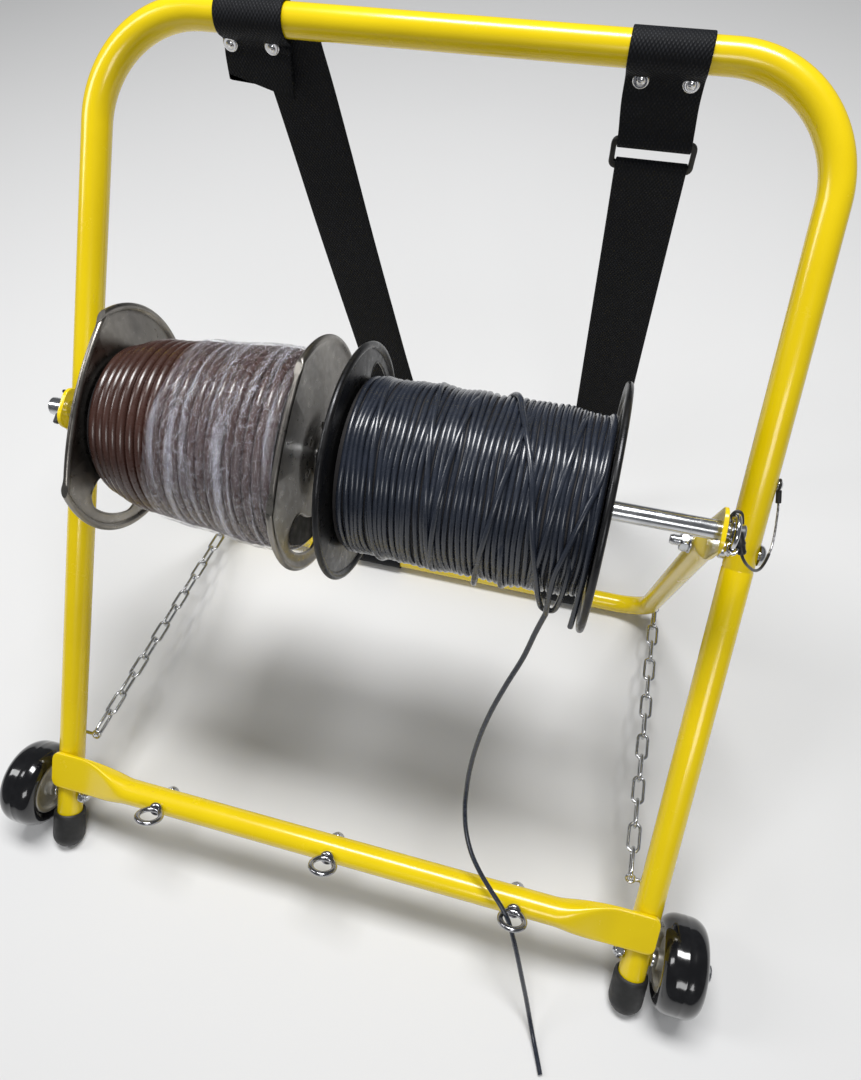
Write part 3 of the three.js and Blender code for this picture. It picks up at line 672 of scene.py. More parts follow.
# ---------- cords ----------
WIRE_R = 1.9
WIRE_ROUTE = [
    (135.6, 178, 305), (131.5, 173, 286), (126.5, 164, 262), (118, 151.5, 236), (110, 138, 208),
    (104.5, 124, 180), (102, 111, 156), (101.8, 99, 138), (103.2, 87, 124.5), (107.5, 73, 112.5),
    (115, 59.5, 104), (125, 48, 98.5), (136, 38, 94.5), (146, 29.5, 90.5), (152.5, 22.8, 86),
    (159, 13, 76), (166, 1, 62), (173, -11.5, 45), (180, -24, 27), (186.5, -37, 12.5),
    (193, -51, 4.6), (198.5, -63, 2.5), (202, -71, 2.3),
]
LANYARD_R = 1
LANYARD_ROUTE = [
    (244, -61.5, 400), (245.2, -61.8, 395.7), (247.2, -61, 391.6), (250.5, -57.5, 387.6),
    (255.5, -49.5, 383.4), (261.2, -40, 380), (266.3, -31, 379.8), (270.3, -23, 383.3),
    (273.2, -16, 388.8), (274.6, -12, 394), (275.1, -8.5, 401), (274.8, -5.5, 410),
    (274.2, -3, 418.5), (273, -1.5, 425), (272.6, -1.2, 428.2),
]


def route_length(path):
    return sum((b - a).length for a, b in zip(path, path[1:]))


def free_wire():
    path = smooth(WIRE_ROUTE, 3)
    made = piece("free_wire_run", tube(path, WIRE_R, 16), GREY_WIRE, place=UPRIGHT)
    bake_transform(made)
    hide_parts("free_wire")


def strand_rope(path):
    """A cord with a smooth sleeve at first and bare twisted strands after BARE_FROM. Returns its shape and
    each point's place along it."""
    sides = 18
    run = []

    def section(i):
        travelled = route_length(path[:i + 1])
        run.extend([Vector((0, travelled, 0)) * MM] * sides)
        if travelled < BARE_FROM:
            return circle(LANYARD_R, sides)
        lobed = []
        for a in full_turn(sides):
            r = LANYARD_R * (0.72 + 0.12 * math.cos(3 * (a - travelled * 1.4)))
            lobed.append((r * math.cos(a), r * math.sin(a)))
        return lobed

    return sweep(path, section), run


def lanyard():
    path = smooth(LANYARD_ROUTE, 0.8)
    shape, run = strand_rope(path)
    made = piece("lanyard_cord", shape, LANYARD_LOOK, run=run)
    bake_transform(made)
    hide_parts("lanyard")


free_wire()
lanyard()


# ---------- frame ----------
def flattened(radius, plate, t, past, corner, sides):
    """A tube's section on its way to a plate (thick, tall), a share t of the way. The plate's corners
    are round, and past is how far the section is into them."""
    thick, tall = (radius + (full / 2 - radius) * t for full in plate)
    tall -= corner - math.sqrt(max(corner ** 2 - past ** 2, 0))
    return pressed(thick, tall, 2 + 7 * t, sides)


def main_tube():
    corners = [(-LEG_X, 0, LEG_BOTTOM), (-LEG_X, 0, TOP_BAR), (LEG_X, 0, TOP_BAR), (LEG_X, 0, LEG_BOTTOM)]
    path = bent(corners, [TOP_BEND, TOP_BEND], math.radians(3))
    seam = PIVOT_AT - 12
    groove = [Vector((LEG_X, 0, seam + d)) for d in (1.2, 0.5, -0.5, -1.2)]
    path = path[:-1] + groove + path[-1:]
    first = len(path) - 5

    def section(i):
        return circle(TUBE_R - (0.25 if first < i < first + 3 else 0), 56)

    piece("main_tube_shell", sweep(path, section), YELLOW, "frame", ["main_tube"])


def weld_bead(x, back, low, high):
    """A rippled bead of weld along a leg."""
    path = [Vector((x, back, low + (high - low) * k / 60)) for k in range(61)]

    def section(i):
        return circle(1.5 + 0.28 * math.sin(i * 1.35), 12)

    return sweep(path, section)


def crossbar():
    """A tube with both ends pressed flat and welded to the legs."""
    start, end = CROSSBAR_HALF - FLAT_LENGTH - FLAT_TAPER, CROSSBAR_HALF - FLAT_LENGTH
    corner = 6
    near = [CROSSBAR_HALF - corner * (1 - math.cos(math.pi / 2 * k / 6)) for k in range(7)]
    taper = [start + (end - start) * k / 16 for k in range(17)]
    xs = sorted([s * x for s in (-1, 1) for x in near + taper + [250, 120, 60]] + [0])
    rings = []
    for x in xs:
        t = eased((abs(x) - start) / (end - start))
        past = max(abs(x) - (CROSSBAR_HALF - corner), 0)
        out = CROSSBAR_OUT + (TUBE_R + 0.3 + FLAT_THICK / 2 - CROSSBAR_OUT) * t
        outline = flattened(TUBE_R, (FLAT_THICK, FLAT_HEIGHT), t, past, corner, 56)
        rings.append([Vector((x, -out + a, CROSSBAR_AT + b)) for a, b in outline])
    beads = []
    for _, s in SIDES:
        for off in (-5.6, 5.6):
            beads.append(weld_bead(s * LEG_X + off, -10.1, CROSSBAR_AT - 13, CROSSBAR_AT + 13))
    piece("crossbar_tube", merged(skin(rings), *beads), YELLOW, "frame", ["crossbar"])


def guide_eye(x, centre):
    """A forged eye: a ring that widens to shoulders where it meets its round neck."""
    inner, outer = GUIDE_RING_R - GUIDE_WIRE_R, GUIDE_RING_R + GUIDE_WIRE_R
    stations = []
    for a in full_turn(72):
        toward = max(math.cos(a), 0) ** 6
        middle = (inner + outer) / 2 + 1.1 * toward
        half = (outer - inner) / 2 + 1.1 * toward
        flat = GUIDE_WIRE_R * (0.86 + 0.3 * toward)
        heading = Vector((math.sin(a), math.cos(a), 0))
        at = Vector((x, centre, CROSSBAR_AT))
        outline = pressed(half, flat, 2.3, 20)
        stations.append([at + heading * (middle + u) + Vector((0, 0, w)) for u, w in outline])
    return skin(stations, closed=True)


def wire_guide(name, x):
    centre = -CROSSBAR_OUT - GUIDE_REACH
    face = -CROSSBAR_OUT - TUBE_R - 0.1
    neck = centre + GUIDE_RING_R + 0.4
    reach = face - neck
    ball = [(6.1 * math.sin(a), reach - 1.6 - 3.4 * math.cos(a))
            for a in (math.pi * k / 16 for k in range(4, 12))]
    profile = [(0.01, 0), (3.4, 0), (4.2, 0.6), *ball, (5.4, reach), (2.9, reach), (2.9, reach + 3),
               (0.01, reach + 3)]
    shank = lathed(profile, 36, (x, neck, CROSSBAR_AT), (0, 1, 0))
    back = -CROSSBAR_OUT + TUBE_R
    stud = thread((x, back - 1, CROSSBAR_AT), (0, 1, 0), 9, 3, 1)
    eye = merged(guide_eye(x, centre), shank, stud)
    piece(f"wire_guide_eye_{name}", eye, DARK_PLATE, "frame", [f"wire_guide_{name}"])
    nut = hexagon((x, back + 0.3, CROSSBAR_AT), (0, 1, 0), 5, 6, 3)
    piece(f"wire_guide_nut_{name}", nut, ZINC, "frame", [f"guide_nut_{name}"])


def leg_tip(name, x):
    """Rubber toe with a round end, cut flat where it stands."""
    profile = [(0.01, -14)]
    profile += [(14 * math.sin(a), -14 * math.cos(a)) for a in quarter_turn(12)]
    profile += [(13.9, 20), (13.6, 22.4), (12.8, 23.6), (12, 24), (TUBE_R + 0.3, 23.6),
                (TUBE_R + 0.3, LEG_BOTTOM - 0.4), (0.01, LEG_BOTTOM - 0.4)]
    obj = piece(f"rubber_toe_{name}", lathed(profile, 56, (x, 0, 0), (0, 0, 1)), RUBBER, sharp=50)
    work = bmesh.new()
    work.from_mesh(obj.data)
    geometry = work.verts[:] + work.edges[:] + work.faces[:]
    cut = bmesh.ops.bisect_plane(work, geom=geometry, plane_co=(0, 0, STANDS_AT), plane_no=(0, 0, -1),
                                 clear_outer=True)
    bmesh.ops.holes_fill(work, edges=[e for e in cut["geom_cut"] if isinstance(e, bmesh.types.BMEdge)])
    work.to_mesh(obj.data)
    work.free()
    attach(obj, "frame")
    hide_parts(f"leg_tip_{name}")


def wheel(name, s):
    x = s * WHEEL_X
    w = WHEEL_HALF
    tyre = [(24.6, -w + 2.4), (26.5, -w + 1.2), (28, -w)]
    tyre += [(28 + 9.5 * math.sin(a), -w + 12.5 * (1 - math.cos(a))) for a in quarter_turn(12)]
    tyre += [(WHEEL_R, -0.5), (WHEEL_R + 0.12, 0)]
    tyre += [(r, -d) for r, d in reversed(tyre[:-1])]
    at = Matrix.Translation((x, 0, WHEEL_AT))
    tread = moved(turned(tyre, 112), at)
    piece(f"wheel_tread_{name}", tread, TYRE, f"wheel_{name}", [f"tyre_{name}"])
    face = [(4.3, -w - 1), (7.6, -w - 1), (8.2, -w - 0.4), (8.4, -w + 3.6), (9.6, -w + 4.8),
            (16.5, -w + 5.4), (18.8, -w + 4.6), (20.2, -w + 1.6), (21, -w + 1), (23.4, -w + 1),
            (24.1, -w + 1.8)]
    hub = face + [(r, -d) for r, d in reversed(face)]
    hub = moved(turned(hub, 72), at)
    piece(f"wheel_hub_{name}", hub, HUB, f"wheel_{name}", [f"hub_{name}"])
    out = (s, 0, 0)
    head_x = s * (WHEEL_X + w + 1.4)
    head = merged(
        washer((head_x - s * 0.2, 0, WHEEL_AT), out, 1.4, 8.4, 4),
        hexagon((head_x + s * 1.2, 0, WHEEL_AT), out, 4.8, 7.5, chamfer_both=False),
        bar((s * 243, 0, WHEEL_AT), out, WHEEL_X + w + 3 - 243, 4),
        thread((s * 250, 0, WHEEL_AT), (-s, 0, 0), 10, 4))
    piece(f"wheel_axle_bolt_{name}", head, ZINC, "frame", [f"wheel_bolt_{name}"])
    inside = s * (LEG_X - TUBE_R - 0.2)
    nut = merged(hexagon((inside, 0, WHEEL_AT), (-s, 0, 0), 5.4, 7.5, 4.1),
                 washer((inside - s * 5.2, 0, WHEEL_AT), (-s, 0, 0), 1.6, 5.6, 4.1))
    piece(f"wheel_lock_nut_{name}", nut, ZINC, "frame", [f"wheel_nut_{name}"])
    length = WHEEL_X - w - 1.1 - LEG_X - TUBE_R + 0.6
    sleeve = washer((s * (LEG_X + TUBE_R - 0.6), 0, WHEEL_AT), out, length, 7, 4.2)
    piece(f"wheel_sleeve_{name}", sleeve, ZINC, "frame", [f"wheel_spacer_{name}"])


# ---------- rear leg and axle ----------
ARM_ANGLE = math.atan2(PIVOT_AT - REAR_ALONG, REAR_BACK)
PLATE_ANGLE = math.atan2(AXLE_ALONG - PIVOT_AT, AXLE_FRONT)


def on_arm(distance):
    return distance * math.cos(ARM_ANGLE), PIVOT_AT - distance * math.sin(ARM_ANGLE)


def on_plate(distance):
    return -distance * math.cos(PLATE_ANGLE), PIVOT_AT + distance * math.sin(PLATE_ANGLE)


def rear_leg():
    """A bent tube whose ends are pressed to plates, which carry the axle."""
    corner = 9
    ends = [PLATE_LENGTH - corner * (1 - math.cos(math.pi / 2 * k / 8)) for k in range(9)]
    taper = PLATE_FROM - TUBE_TO
    reaches = ends + [52, 42, 34] + [PLATE_FROM - taper * k / 10 for k in range(11)] + [4]

    def sunk(side, reach):
        t = eased((reach - TUBE_TO) / taper)
        return Vector((side * (REAR_X + (PLATE_X - REAR_X) * t), *on_plate(reach))), t

    corners = [(-REAR_X, 0, PIVOT_AT), (-REAR_X, REAR_BACK, REAR_ALONG), (REAR_X, REAR_BACK, REAR_ALONG),
               (REAR_X, 0, PIVOT_AT)]
    middle = bent(corners, [REAR_BEND, REAR_BEND])
    left = [sunk(-1, d) for d in reaches]
    right = [sunk(1, d) for d in reversed(reaches)]
    path = [p for p, _ in left] + middle + [p for p, _ in right]
    flat = [t for _, t in left] + [0] * len(middle) + [t for _, t in right]
    reach = reaches + [0] * len(middle) + reaches[::-1]

    def section(i):
        past = max(reach[i] - (PLATE_LENGTH - corner), 0)
        return flattened(REAR_R, (PLATE_THICK, PLATE_HEIGHT), flat[i], past, corner, 44)

    piece("rear_leg_tube", sweep(path, section), YELLOW, "rear_leg", ["rear_leg"])


def pivot(name, s):
    out, inward = (s, 0, 0), (-s, 0, 0)
    face = s * (LEG_X + TUBE_R)
    dome = [(7.4 * math.sin(a), 5.2 - 4.4 * (1 - math.cos(a))) for a in quarter_turn(10)]
    head = lathed([(0.01, 5.2), *dome, (7.6, 0), (0.01, 0)], 48, (face, 0, PIVOT_AT), out)
    bolt = merged(head, bar((s * 216, 0, PIVOT_AT), out, abs(face) - 214, 4),
                  thread((s * 222, 0, PIVOT_AT), inward, 12, 4))
    piece(f"pivot_carriage_bolt_{name}", bolt, ZINC, "frame", [f"pivot_bolt_{name}"])
    inner = s * (REAR_X - REAR_R - 0.2)
    nut = merged(washer((inner, 0, PIVOT_AT), inward, 1.2, 8, 4.1),
                 hexagon((inner - s * 1.2, 0, PIVOT_AT), inward, 6, 7.5, 4.1))
    piece(f"pivot_lock_nut_{name}", nut, ZINC, "frame", [f"pivot_nut_{name}"])
    start = REAR_X + REAR_R + 0.1
    spacer = washer((s * start, 0, PIVOT_AT), out, LEG_X - TUBE_R + 0.6 - start, 7, 4.2)
    piece(f"pivot_sleeve_{name}", spacer, ZINC, "frame", [f"pivot_spacer_{name}"])


def on_axle(x, up):
    return Vector((x, -AXLE_FRONT - up * math.sin(PIN_LEAN), AXLE_ALONG - up * math.cos(PIN_LEAN)))


def axle():
    low, high = AXLE_ENDS
    profile = rounded([(0.01, low), (AXLE_R, low), (AXLE_R, high), (0.01, high)], 1.2, closed=False)
    rod = moved(turned(profile, 56, closed=False), Matrix.Translation((0, -AXLE_FRONT, AXLE_ALONG)))
    piece("axle_bar", rod, ZINC, "rear_leg", ["axle_rod"])
    start = on_axle(-LOCK_X, -13)
    along = on_axle(0, 1) - on_axle(0, 0)
    button = rounded([(0.01, 0), (3.4, 0), (3.4, 2), (0.01, 2)], 0.8, closed=False)
    pin = merged(bar(start, along, 26, 2.2, 24, 0.6), lathed(button, 28, start, along))
    piece("axle_retaining_pin", pin, SPOOL_BLACK, "rear_leg", ["axle_cross_pin"])


def lock():
    hinge = on_axle(LOCK_X, LOCK_RING_R)
    down = on_axle(0, 1) - on_axle(0, 0)
    side = Vector((0, -math.cos(PIN_LEAN), math.sin(PIN_LEAN)))
    shaft = bar(on_axle(LOCK_X, -8.8), down, 17, 2.2, 24, 0.8)
    head = [(2.6, -3.5), (4.2, -3.5), (4.2, 3.5), (2.6, 3.5)]
    collar = lathed(rounded(head, 0.7), 36, hinge, side, closed=True)
    piece("lock_pin_body", merged(shaft, collar), CHROME, "rear_leg", ["lock_pin"])
    ring = torus(on_axle(LOCK_X, 0), (1, 0, 0), LOCK_RING_R, 1.9, 64, 18)
    piece("lock_pin_ring", ring, CHROME, "lock_ring", ["lock_ring"])


# ---------- spools ----------
HAND_HOLE = {"half": 27, "low": 43, "high": 70, "corner": 12}
RIM_R = 2.5
CUT_HALF = 6
BOLT_CIRCLE_R = 21


def on_spool_axis(shape, x=0):
    """A shape about the X axis, moved onto the axle."""
    return moved(shape, Matrix.Translation((x, -AXLE_FRONT, AXLE_ALONG)))


def slab(outline):
    """A cutter over an outline in the YZ plane, thick enough to go through a flange."""
    return skin([[p + Vector((d, 0, 0)) for p in outline] for d in (-CUT_HALF, CUT_HALF)])


def hand_hole(at, half, low, high, corner):
    """The rounded hand hole of a flange, at a turn in degrees from the back towards the top."""
    middle = (low + high) / 2
    flat = rounded([(-half, low), (half, low), (half, high), (-half, high)], corner, 7)
    dense = []
    for a, b in zip(flat, flat[1:] + flat[:1]):
        steps = max(1, int((b - a).length / 4))
        dense += [a.lerp(b, i / steps) for i in range(steps)]
    turn = math.pi / 2 + math.radians(at)
    out = []
    for u, r in dense:
        a = u / middle + turn
        out.append(Vector((0, r * math.sin(a), -r * math.cos(a))))
    return out


def flattened_edge(reach, radius, half):
    """An arc along the flattened side of a flange, about the flat's own centre."""
    line = []
    for k in range(25):
        a = half * (k / 12 - 1)
        back = reach - FLAT_R + radius * math.cos(a)
        line.append(Matrix.Rotation(FLAT_AT, 3, "X") @ Vector((0, back, radius * math.sin(a))))
    return line


def carved(shape, cutters):
    """A shape with others cut out of it."""
    holder = []
    for part in (shape, merged(*cutters)):
        mesh = bpy.data.meshes.new("carving")
        mesh.from_pydata(part[0], [], part[1])
        work = bmesh.new()
        work.from_mesh(mesh)
        bmesh.ops.recalc_face_normals(work, faces=work.faces)
        work.to_mesh(mesh)
        work.free()
        obj = bpy.data.objects.new("carving", mesh)
        bpy.context.collection.objects.link(obj)
        holder.append(obj)
    cut = holder[0].modifiers.new("cut", "BOOLEAN")
    cut.operation = "DIFFERENCE"
    cut.solver = "EXACT"
    cut.object = holder[1]
    bpy.context.view_layer.update()
    result = holder[0].evaluated_get(bpy.context.evaluated_depsgraph_get()).to_mesh()
    points = [v.co.copy() for v in result.vertices]
    faces = [list(p.vertices) for p in result.polygons]
    for obj in holder:
        bpy.data.objects.remove(obj)
    return points, faces


def flange(name, side, x, facing_side, look):
    """Pressed sheet: a dished middle, a step, a flat with one hand hole and a rolled rim. The left
    spool's are flattened on one side, and the rim follows."""
    front = [(9, 1.9), (13, 1.9), (15, 0.9), (27, 0.9), (29.5, 0.4), (36, 0.4), (38, 0.6), (74.5, 0.6),
             (76.6, 1.2)]
    rim = [(RIM_LINE + RIM_R * math.cos(a), 2.35 * math.sin(a))
           for a in (math.radians(125 - 250 * k / 16) for k in range(17))]
    back = [(r, d - 1.2) for r, d in reversed(front)]
    disc = turned([(r, d * facing_side) for r, d in front + rim + back], 120)
    outline = hand_hole(SPOOLS[side]["hole_at"], **HAND_HOLE)
    cutters = [slab(outline)]
    lips = [tube([p + Vector((0.05, 0, 0)) for p in outline], 0.95, 10, closed=True)]
    if side == "left":
        reach = FLAT_REACH[name]
        beyond = flattened_edge(reach, FLAT_R + 50, 0.4)[::-1]
        cutters.append(slab(flattened_edge(reach, FLAT_R, 0.4) + beyond))
        back, line = FLAT_R - reach, FLAT_R - FLANGE_R + RIM_LINE
        half = math.acos((back ** 2 + line ** 2 - RIM_LINE ** 2) / (2 * back * line))
        lips.append(tube(flattened_edge(reach, line, half), 2.3, 14))
    for a in (math.radians(30 + 60 * k) for k in range(6)):
        start = (-3, BOLT_CIRCLE_R * math.cos(a), BOLT_CIRCLE_R * math.sin(a))
        cutters.append(bar(start, (1, 0, 0), 6, 2.6, 20, 0.1))
    shape = on_spool_axis(merged(carved(disc, cutters), *lips), x)
    piece(f"flange_{side}_{name}", shape, look, f"spool_{side}", [f"spool_{side}_flange_{name}"],
          sharp=35)


def profile_radius(spool, share):
    wound = spool["wound"]
    share = min(max(share, wound[0][0]), wound[-1][0])
    for (s0, r0), (s1, r1) in zip(wound, wound[1:]):
        if share <= s1:
            return r0 + (r1 - r0) * eased((share - s0) / (s1 - s0))
    return wound[-1][1]


def wander(angle, turn, seed, size):
    """A smooth wobble that is a little different on each turn."""
    place = Vector((math.cos(angle) * 1.3, math.sin(angle) * 1.3 + seed, turn * 0.37))
    return noise.noise(place) * size


def winding(side):
    """The outer turns of wire laid side by side, over a shaded core that fills what lies under them."""
    spool = SPOOLS[side]
    wire = spool["wire"]
    width = spool["to"] - spool["from"]
    low = spool["from"] + spool["wound"][0][0] * width + wire / 2
    high = spool["from"] + spool["wound"][-1][0] * width - wire / 2
    turns = int((high - low) / wire)
    per_turn = 60
    path = []
    for i in range(turns * per_turn + 1):
        turn = i / per_turn
        angle = 2 * math.pi * turn
        x = low + (high - low) * turn / turns + wander(angle, turn, 0, spool["loose"] * 1.9)
        share = (x - spool["from"]) / width
        r = profile_radius(spool, share) - wire / 2 - 0.5 + wander(angle, turn, 7, spool["loose"] * 1.4)
        path.append(Vector((min(max(x, low), high), r * math.cos(angle), r * math.sin(angle))))
    shape = sweep(path, circle(wire / 2, 10))
    core = []
    for k in range(25):
        share = spool["wound"][0][0] + (spool["wound"][-1][0] - spool["wound"][0][0]) * k / 24
        core.append((profile_radius(spool, share) - wire * 0.8, spool["from"] + share * width))
    core = [(BARREL_R + 0.4, core[0][1]), *core, (BARREL_R + 0.4, core[-1][1])]
    body = f"spool_{side}"
    look, slot = (BROWN_WIRE, "brown_wire") if side == "left" else (GREY_WIRE, "grey_wire")
    extra = [] if side == "left" else loose_strands(spool)
    wire_turns = on_spool_axis(merged(shape, *extra))
    piece(f"wire_turns_{side}", wire_turns, look, body, [f"wound_wire_{side}"])
    piece(f"wire_under_{side}", on_spool_axis(turned(core, 64)), WIRE_SHADE, body, ())


# Strands over the neat turns of the right spool, each a list of (angle, share of the width, lift).
STRANDS = [
    # stands proud at the top, runs down the front and hangs off its lower part in a loop
    [(55, 0.52, -2), (85, 0.57, 1.6), (104, 0.609, 4.2), (121, 0.64, 2.2), (138, 0.674, 2),
     (163, 0.723, 2), (191, 0.757, 2), (222, 0.795, 3.5), (238, 0.815, 8), (250, 0.84, 12.6),
     (250, 0.872, 13), (238, 0.892, 8), (222, 0.9, 3), (205, 0.902, -1.5)],
    # comes off the outer edge and runs slanting down to the free end
    [(98, 0.95, -1.5), (120, 0.955, 2), (144, 0.952, 2.2), (155, 0.948, 2.4), (172, 0.92, 2.6),
     (196, 0.885, 2.8), (215, 0.858, 4.5), (228, 0.8525, 7.5), (238, 0.852, 11.2), (247, 0.8523, 15.7)],
    # a long slant that ends in a slack bulge
    [(118, 0.67, -1.8), (136, 0.655, 1.7), (149, 0.646, 1.9), (167, 0.628, 1.9), (186, 0.612, 1.9),
     (205, 0.593, 1.9), (228, 0.576, 2), (242, 0.568, 4.6), (254, 0.562, 4.8), (268, 0.556, 1),
     (284, 0.55, -2)],
    # the loose tail at the right flange
    [(70, 0.945, -1.6), (100, 0.957, 1.6), (140, 0.957, 1.8), (186, 0.957, 2), (212, 0.957, 4.5),
     (226, 0.955, 8.5), (238, 0.952, 15), (246, 0.949, 21.5)],
    # a short slack stretch across the front
    [(196, 0.655, -1.6), (214, 0.66, 1.6), (232, 0.664, 2.2), (244, 0.668, 3.4), (258, 0.675, 1.4),
     (275, 0.68, -1.6)],
    # long slants over the front that lie close to the turns
    [(60, 0.30, -1.8), (90, 0.31, 1.5), (130, 0.335, 1.7), (175, 0.37, 1.7), (215, 0.39, 1.6),
     (250, 0.4, 1), (280, 0.41, -2)],
    [(95, 0.47, -1.8), (125, 0.455, 1.6), (165, 0.43, 1.8), (205, 0.41, 1.7), (240, 0.4, 2.2),
     (262, 0.395, -1.8)],
    [(100, 0.86, -1.8), (130, 0.845, 1.6), (165, 0.82, 1.8), (200, 0.8, 1.7), (240, 0.77, 1.2),
     (270, 0.76, -1.8)],
    [(80, 0.12, -1.8), (115, 0.13, 1.5), (165, 0.16, 1.7), (215, 0.18, 1.6), (260, 0.19, 1),
     (290, 0.2, -2)],
    # slants behind
    [(-60, 0.25, -1.8), (-20, 0.3, 1.8), (25, 0.42, 2), (60, 0.5, 1.8), (85, 0.52, -1.8)],
    [(-80, 0.8, -1.8), (-40, 0.74, 1.8), (0, 0.66, 2), (40, 0.6, 1.8), (70, 0.57, -1.8)],
]


# the radius at which a strand's angle counts as a distance when it is smoothed
EVEN_R = 66


def loose_strands(spool):
    """Strands that cross the neat turns of the right spool."""
    width = spool["to"] - spool["from"]
    wire = spool["wire"]
    made = []
    for strand in STRANDS:
        # smoothed with the angle as a distance round the winding, so that bends come out even
        flat = smooth([(math.radians(a) * EVEN_R, share * width, lift) for a, share, lift in strand], 1.5)
        path = []
        for a, across, lift in flat:
            angle = a / EVEN_R
            r = profile_radius(spool, across / width) - wire / 2 - 0.5 + lift
            path.append(Vector((spool["from"] + across, r * math.cos(angle), r * math.sin(angle))))
        made.append(sweep(path, circle(wire / 2, 12)))
    return made


def film():
    """Clear film shrunk onto the left turns, with creases across them and a ragged edge."""
    spool = SPOOLS["left"]
    width = spool["to"] - spool["from"]
    around, length = 300, 90
    shells = []
    for skin_depth in (0.0, 0.22):
        rings = []
        for i in range(length + 1):
            ring = []
            for a in full_turn(around):
                edge = FILM_FROM + FILM_SLANT * math.cos(a - FILM_TOP)
                edge += 0.02 * noise.noise(Vector((math.cos(a) * 2, math.sin(a) * 2, 3)))
                share = edge + (0.962 - edge) * i / length
                x = spool["from"] + share * width
                turn = (x / spool["wire"]) * 2 * math.pi + a
                place = Vector((x * 0.16, 9 * math.cos(a), 9 * math.sin(a)))
                crease = 1 - abs(noise.noise(place + Vector((0, 0, 5)))) * 3
                fine = 1 - abs(noise.noise(place * 2.3)) * 3
                r = profile_radius(spool, share) + 0.45 + 0.3 * math.cos(turn)
                r = r + 0.42 * crease + 0.22 * fine + skin_depth
                ring.append(Vector((x, r * math.cos(a), r * math.sin(a))))
            rings.append(ring)
        shells.append(rings)
    shape = skin(shells[1] + shells[0][::-1], closed=True)
    piece("shrink_wrap", on_spool_axis(shape), FILM, "spool_left", ["shrink_film"],
          sharp=70)


def spools():
    for side, s in SIDES:
        spool = SPOOLS[side]
        look = SPOOL_STEEL if side == "left" else SPOOL_BLACK
        ends = (spool["from"] + 2.5, spool["to"] - 2.5)
        outer, inner = ends if side == "left" else ends[::-1]
        flange("outer", side, outer, s, look)
        flange("inner", side, inner, -s, look)
        low, high = spool["from"] + 3, spool["to"] - 3
        bore, wall = AXLE_R + 1.2, BARREL_R - 0.2
        profile = rounded([(bore, low), (wall, low), (wall, high), (bore, high)], 1)
        piece(f"barrel_{side}", on_spool_axis(turned(profile, 64)), look, f"spool_{side}",
              [f"spool_{side}_barrel"])
        winding(side)
    film()


# ---------- chains ----------
def link_path(length, width):
    """The middle line of a chain link, long in X, wide in Y."""
    r = width / 2 - LINK_WIRE_R
    reach = length / 2 - LINK_WIRE_R - r
    path = []
    for end, start in ((1, -math.pi / 2), (-1, math.pi / 2)):
        for k in range(13):
            a = start + math.pi * k / 12
            path.append(Vector((end * reach + r * math.cos(a), r * math.sin(a), 0)))
    return path


def chain(name, s):
    low = Vector((s * CHAIN_X, *CHAIN_LOW))
    high = Vector((s * CHAIN_X, *on_arm(CHAIN_HIGH)))
    run = (high - low).normalized()
    hook = 0.7
    span = (high - low).length - 2 * hook
    length = (span + 6 * LINK_WIRE_R * (CHAIN_LINKS - 1) * 2 / 3 + 2 * LINK_WIRE_R) / CHAIN_LINKS
    pitch = length - 4 * LINK_WIRE_R
    side = Vector((1, 0, 0))
    other = run.cross(side)
    for k in range(CHAIN_LINKS):
        middle = low + run * (hook + length / 2 - LINK_WIRE_R + pitch * k)
        wide, thin = (side, other) if k % 2 else (other, side)
        tilt = Matrix.Rotation(math.radians(14 * noise.noise(Vector((k * 1.7, s, 0)))), 3, run)
        basis = Matrix((run, tilt @ wide, tilt @ thin)).transposed().to_4x4()
        link = moved(tube(link_path(length, LINK_WIDTH), LINK_WIRE_R, 14, side=(0, 0, 1), closed=True),
                     Matrix.Translation(middle) @ basis)
        made = piece(f"chain_{name}_link_{k + 1}", link, ZINC)
        share = (k + 0.5) / CHAIN_LINKS
        weigh_whole(made, share)
        if k == 0:
            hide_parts(f"chain_{name}")
    for end, point, reach in (("low", low, LEG_X - CHAIN_X - 5), ("high", high, -12)):
        toward = math.copysign(1, reach) * s
        eye = torus(point, (0, -1, 0), 3.4, 1.2, 32, 12)
        # the eye lies in the plane that holds the chain and the tube's middle
        shank = bar(point + Vector((toward * 3.4, 0, 0)), (toward, 0, 0), abs(reach) - 3.4, 1.6, 16)
        body = "frame" if end == "low" else "rear_leg"
        piece(f"chain_screw_eye_{end}_{name}", merged(eye, shank), ZINC, body,
              [f"chain_eye_{end}_{name}"])


def weigh_whole(obj, share):
    """Solves for where the eased curve reaches a share, which nothing uses, and bakes the piece's place
    into its mesh.
    """
    t = 0.5
    for _ in range(40):
        t -= (t * t * (3 - 2 * t) - share) / max(6 * t * (1 - t), 0.2)
    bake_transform(obj)


# ---------- webbing ----------
BAR_Y, BAR_Z = across_legs(0, TOP_BAR)
REAR_Y, REAR_Z = across_legs(REAR_BACK, REAR_ALONG)
LAYER = WEB_THICK / 2 + 0.15
TAB_TAIL = 34
TAB_SKEW = 5
TAB_DRIFT = 2
SLIDER_TURN_R = 3.9
FOOT_TAIL = 27
FOOT_GAP = 1.75


def loop_path(x, y, z, radius, heading, tail, gap=LAYER):
    """A webbing loop round a tube: out along one layer, round, and back along the other."""
    turn = math.radians(heading)
    out = Vector((0, math.cos(turn), math.sin(turn)))
    side = Vector((0, -math.sin(turn), math.cos(turn)))
    centre = Vector((x, y, z))
    layer = [centre + out * (radius + d) + side * gap for d in (tail, tail * 0.5, 5)]
    back = [p - side * 2 * gap for p in reversed(layer)]
    points = []
    for k in range(15):
        a = math.radians(52 + (360 - 104) * k / 14)
        points.append(centre + out * radius * math.cos(a) + side * radius * math.sin(a))
    return layer + points + back


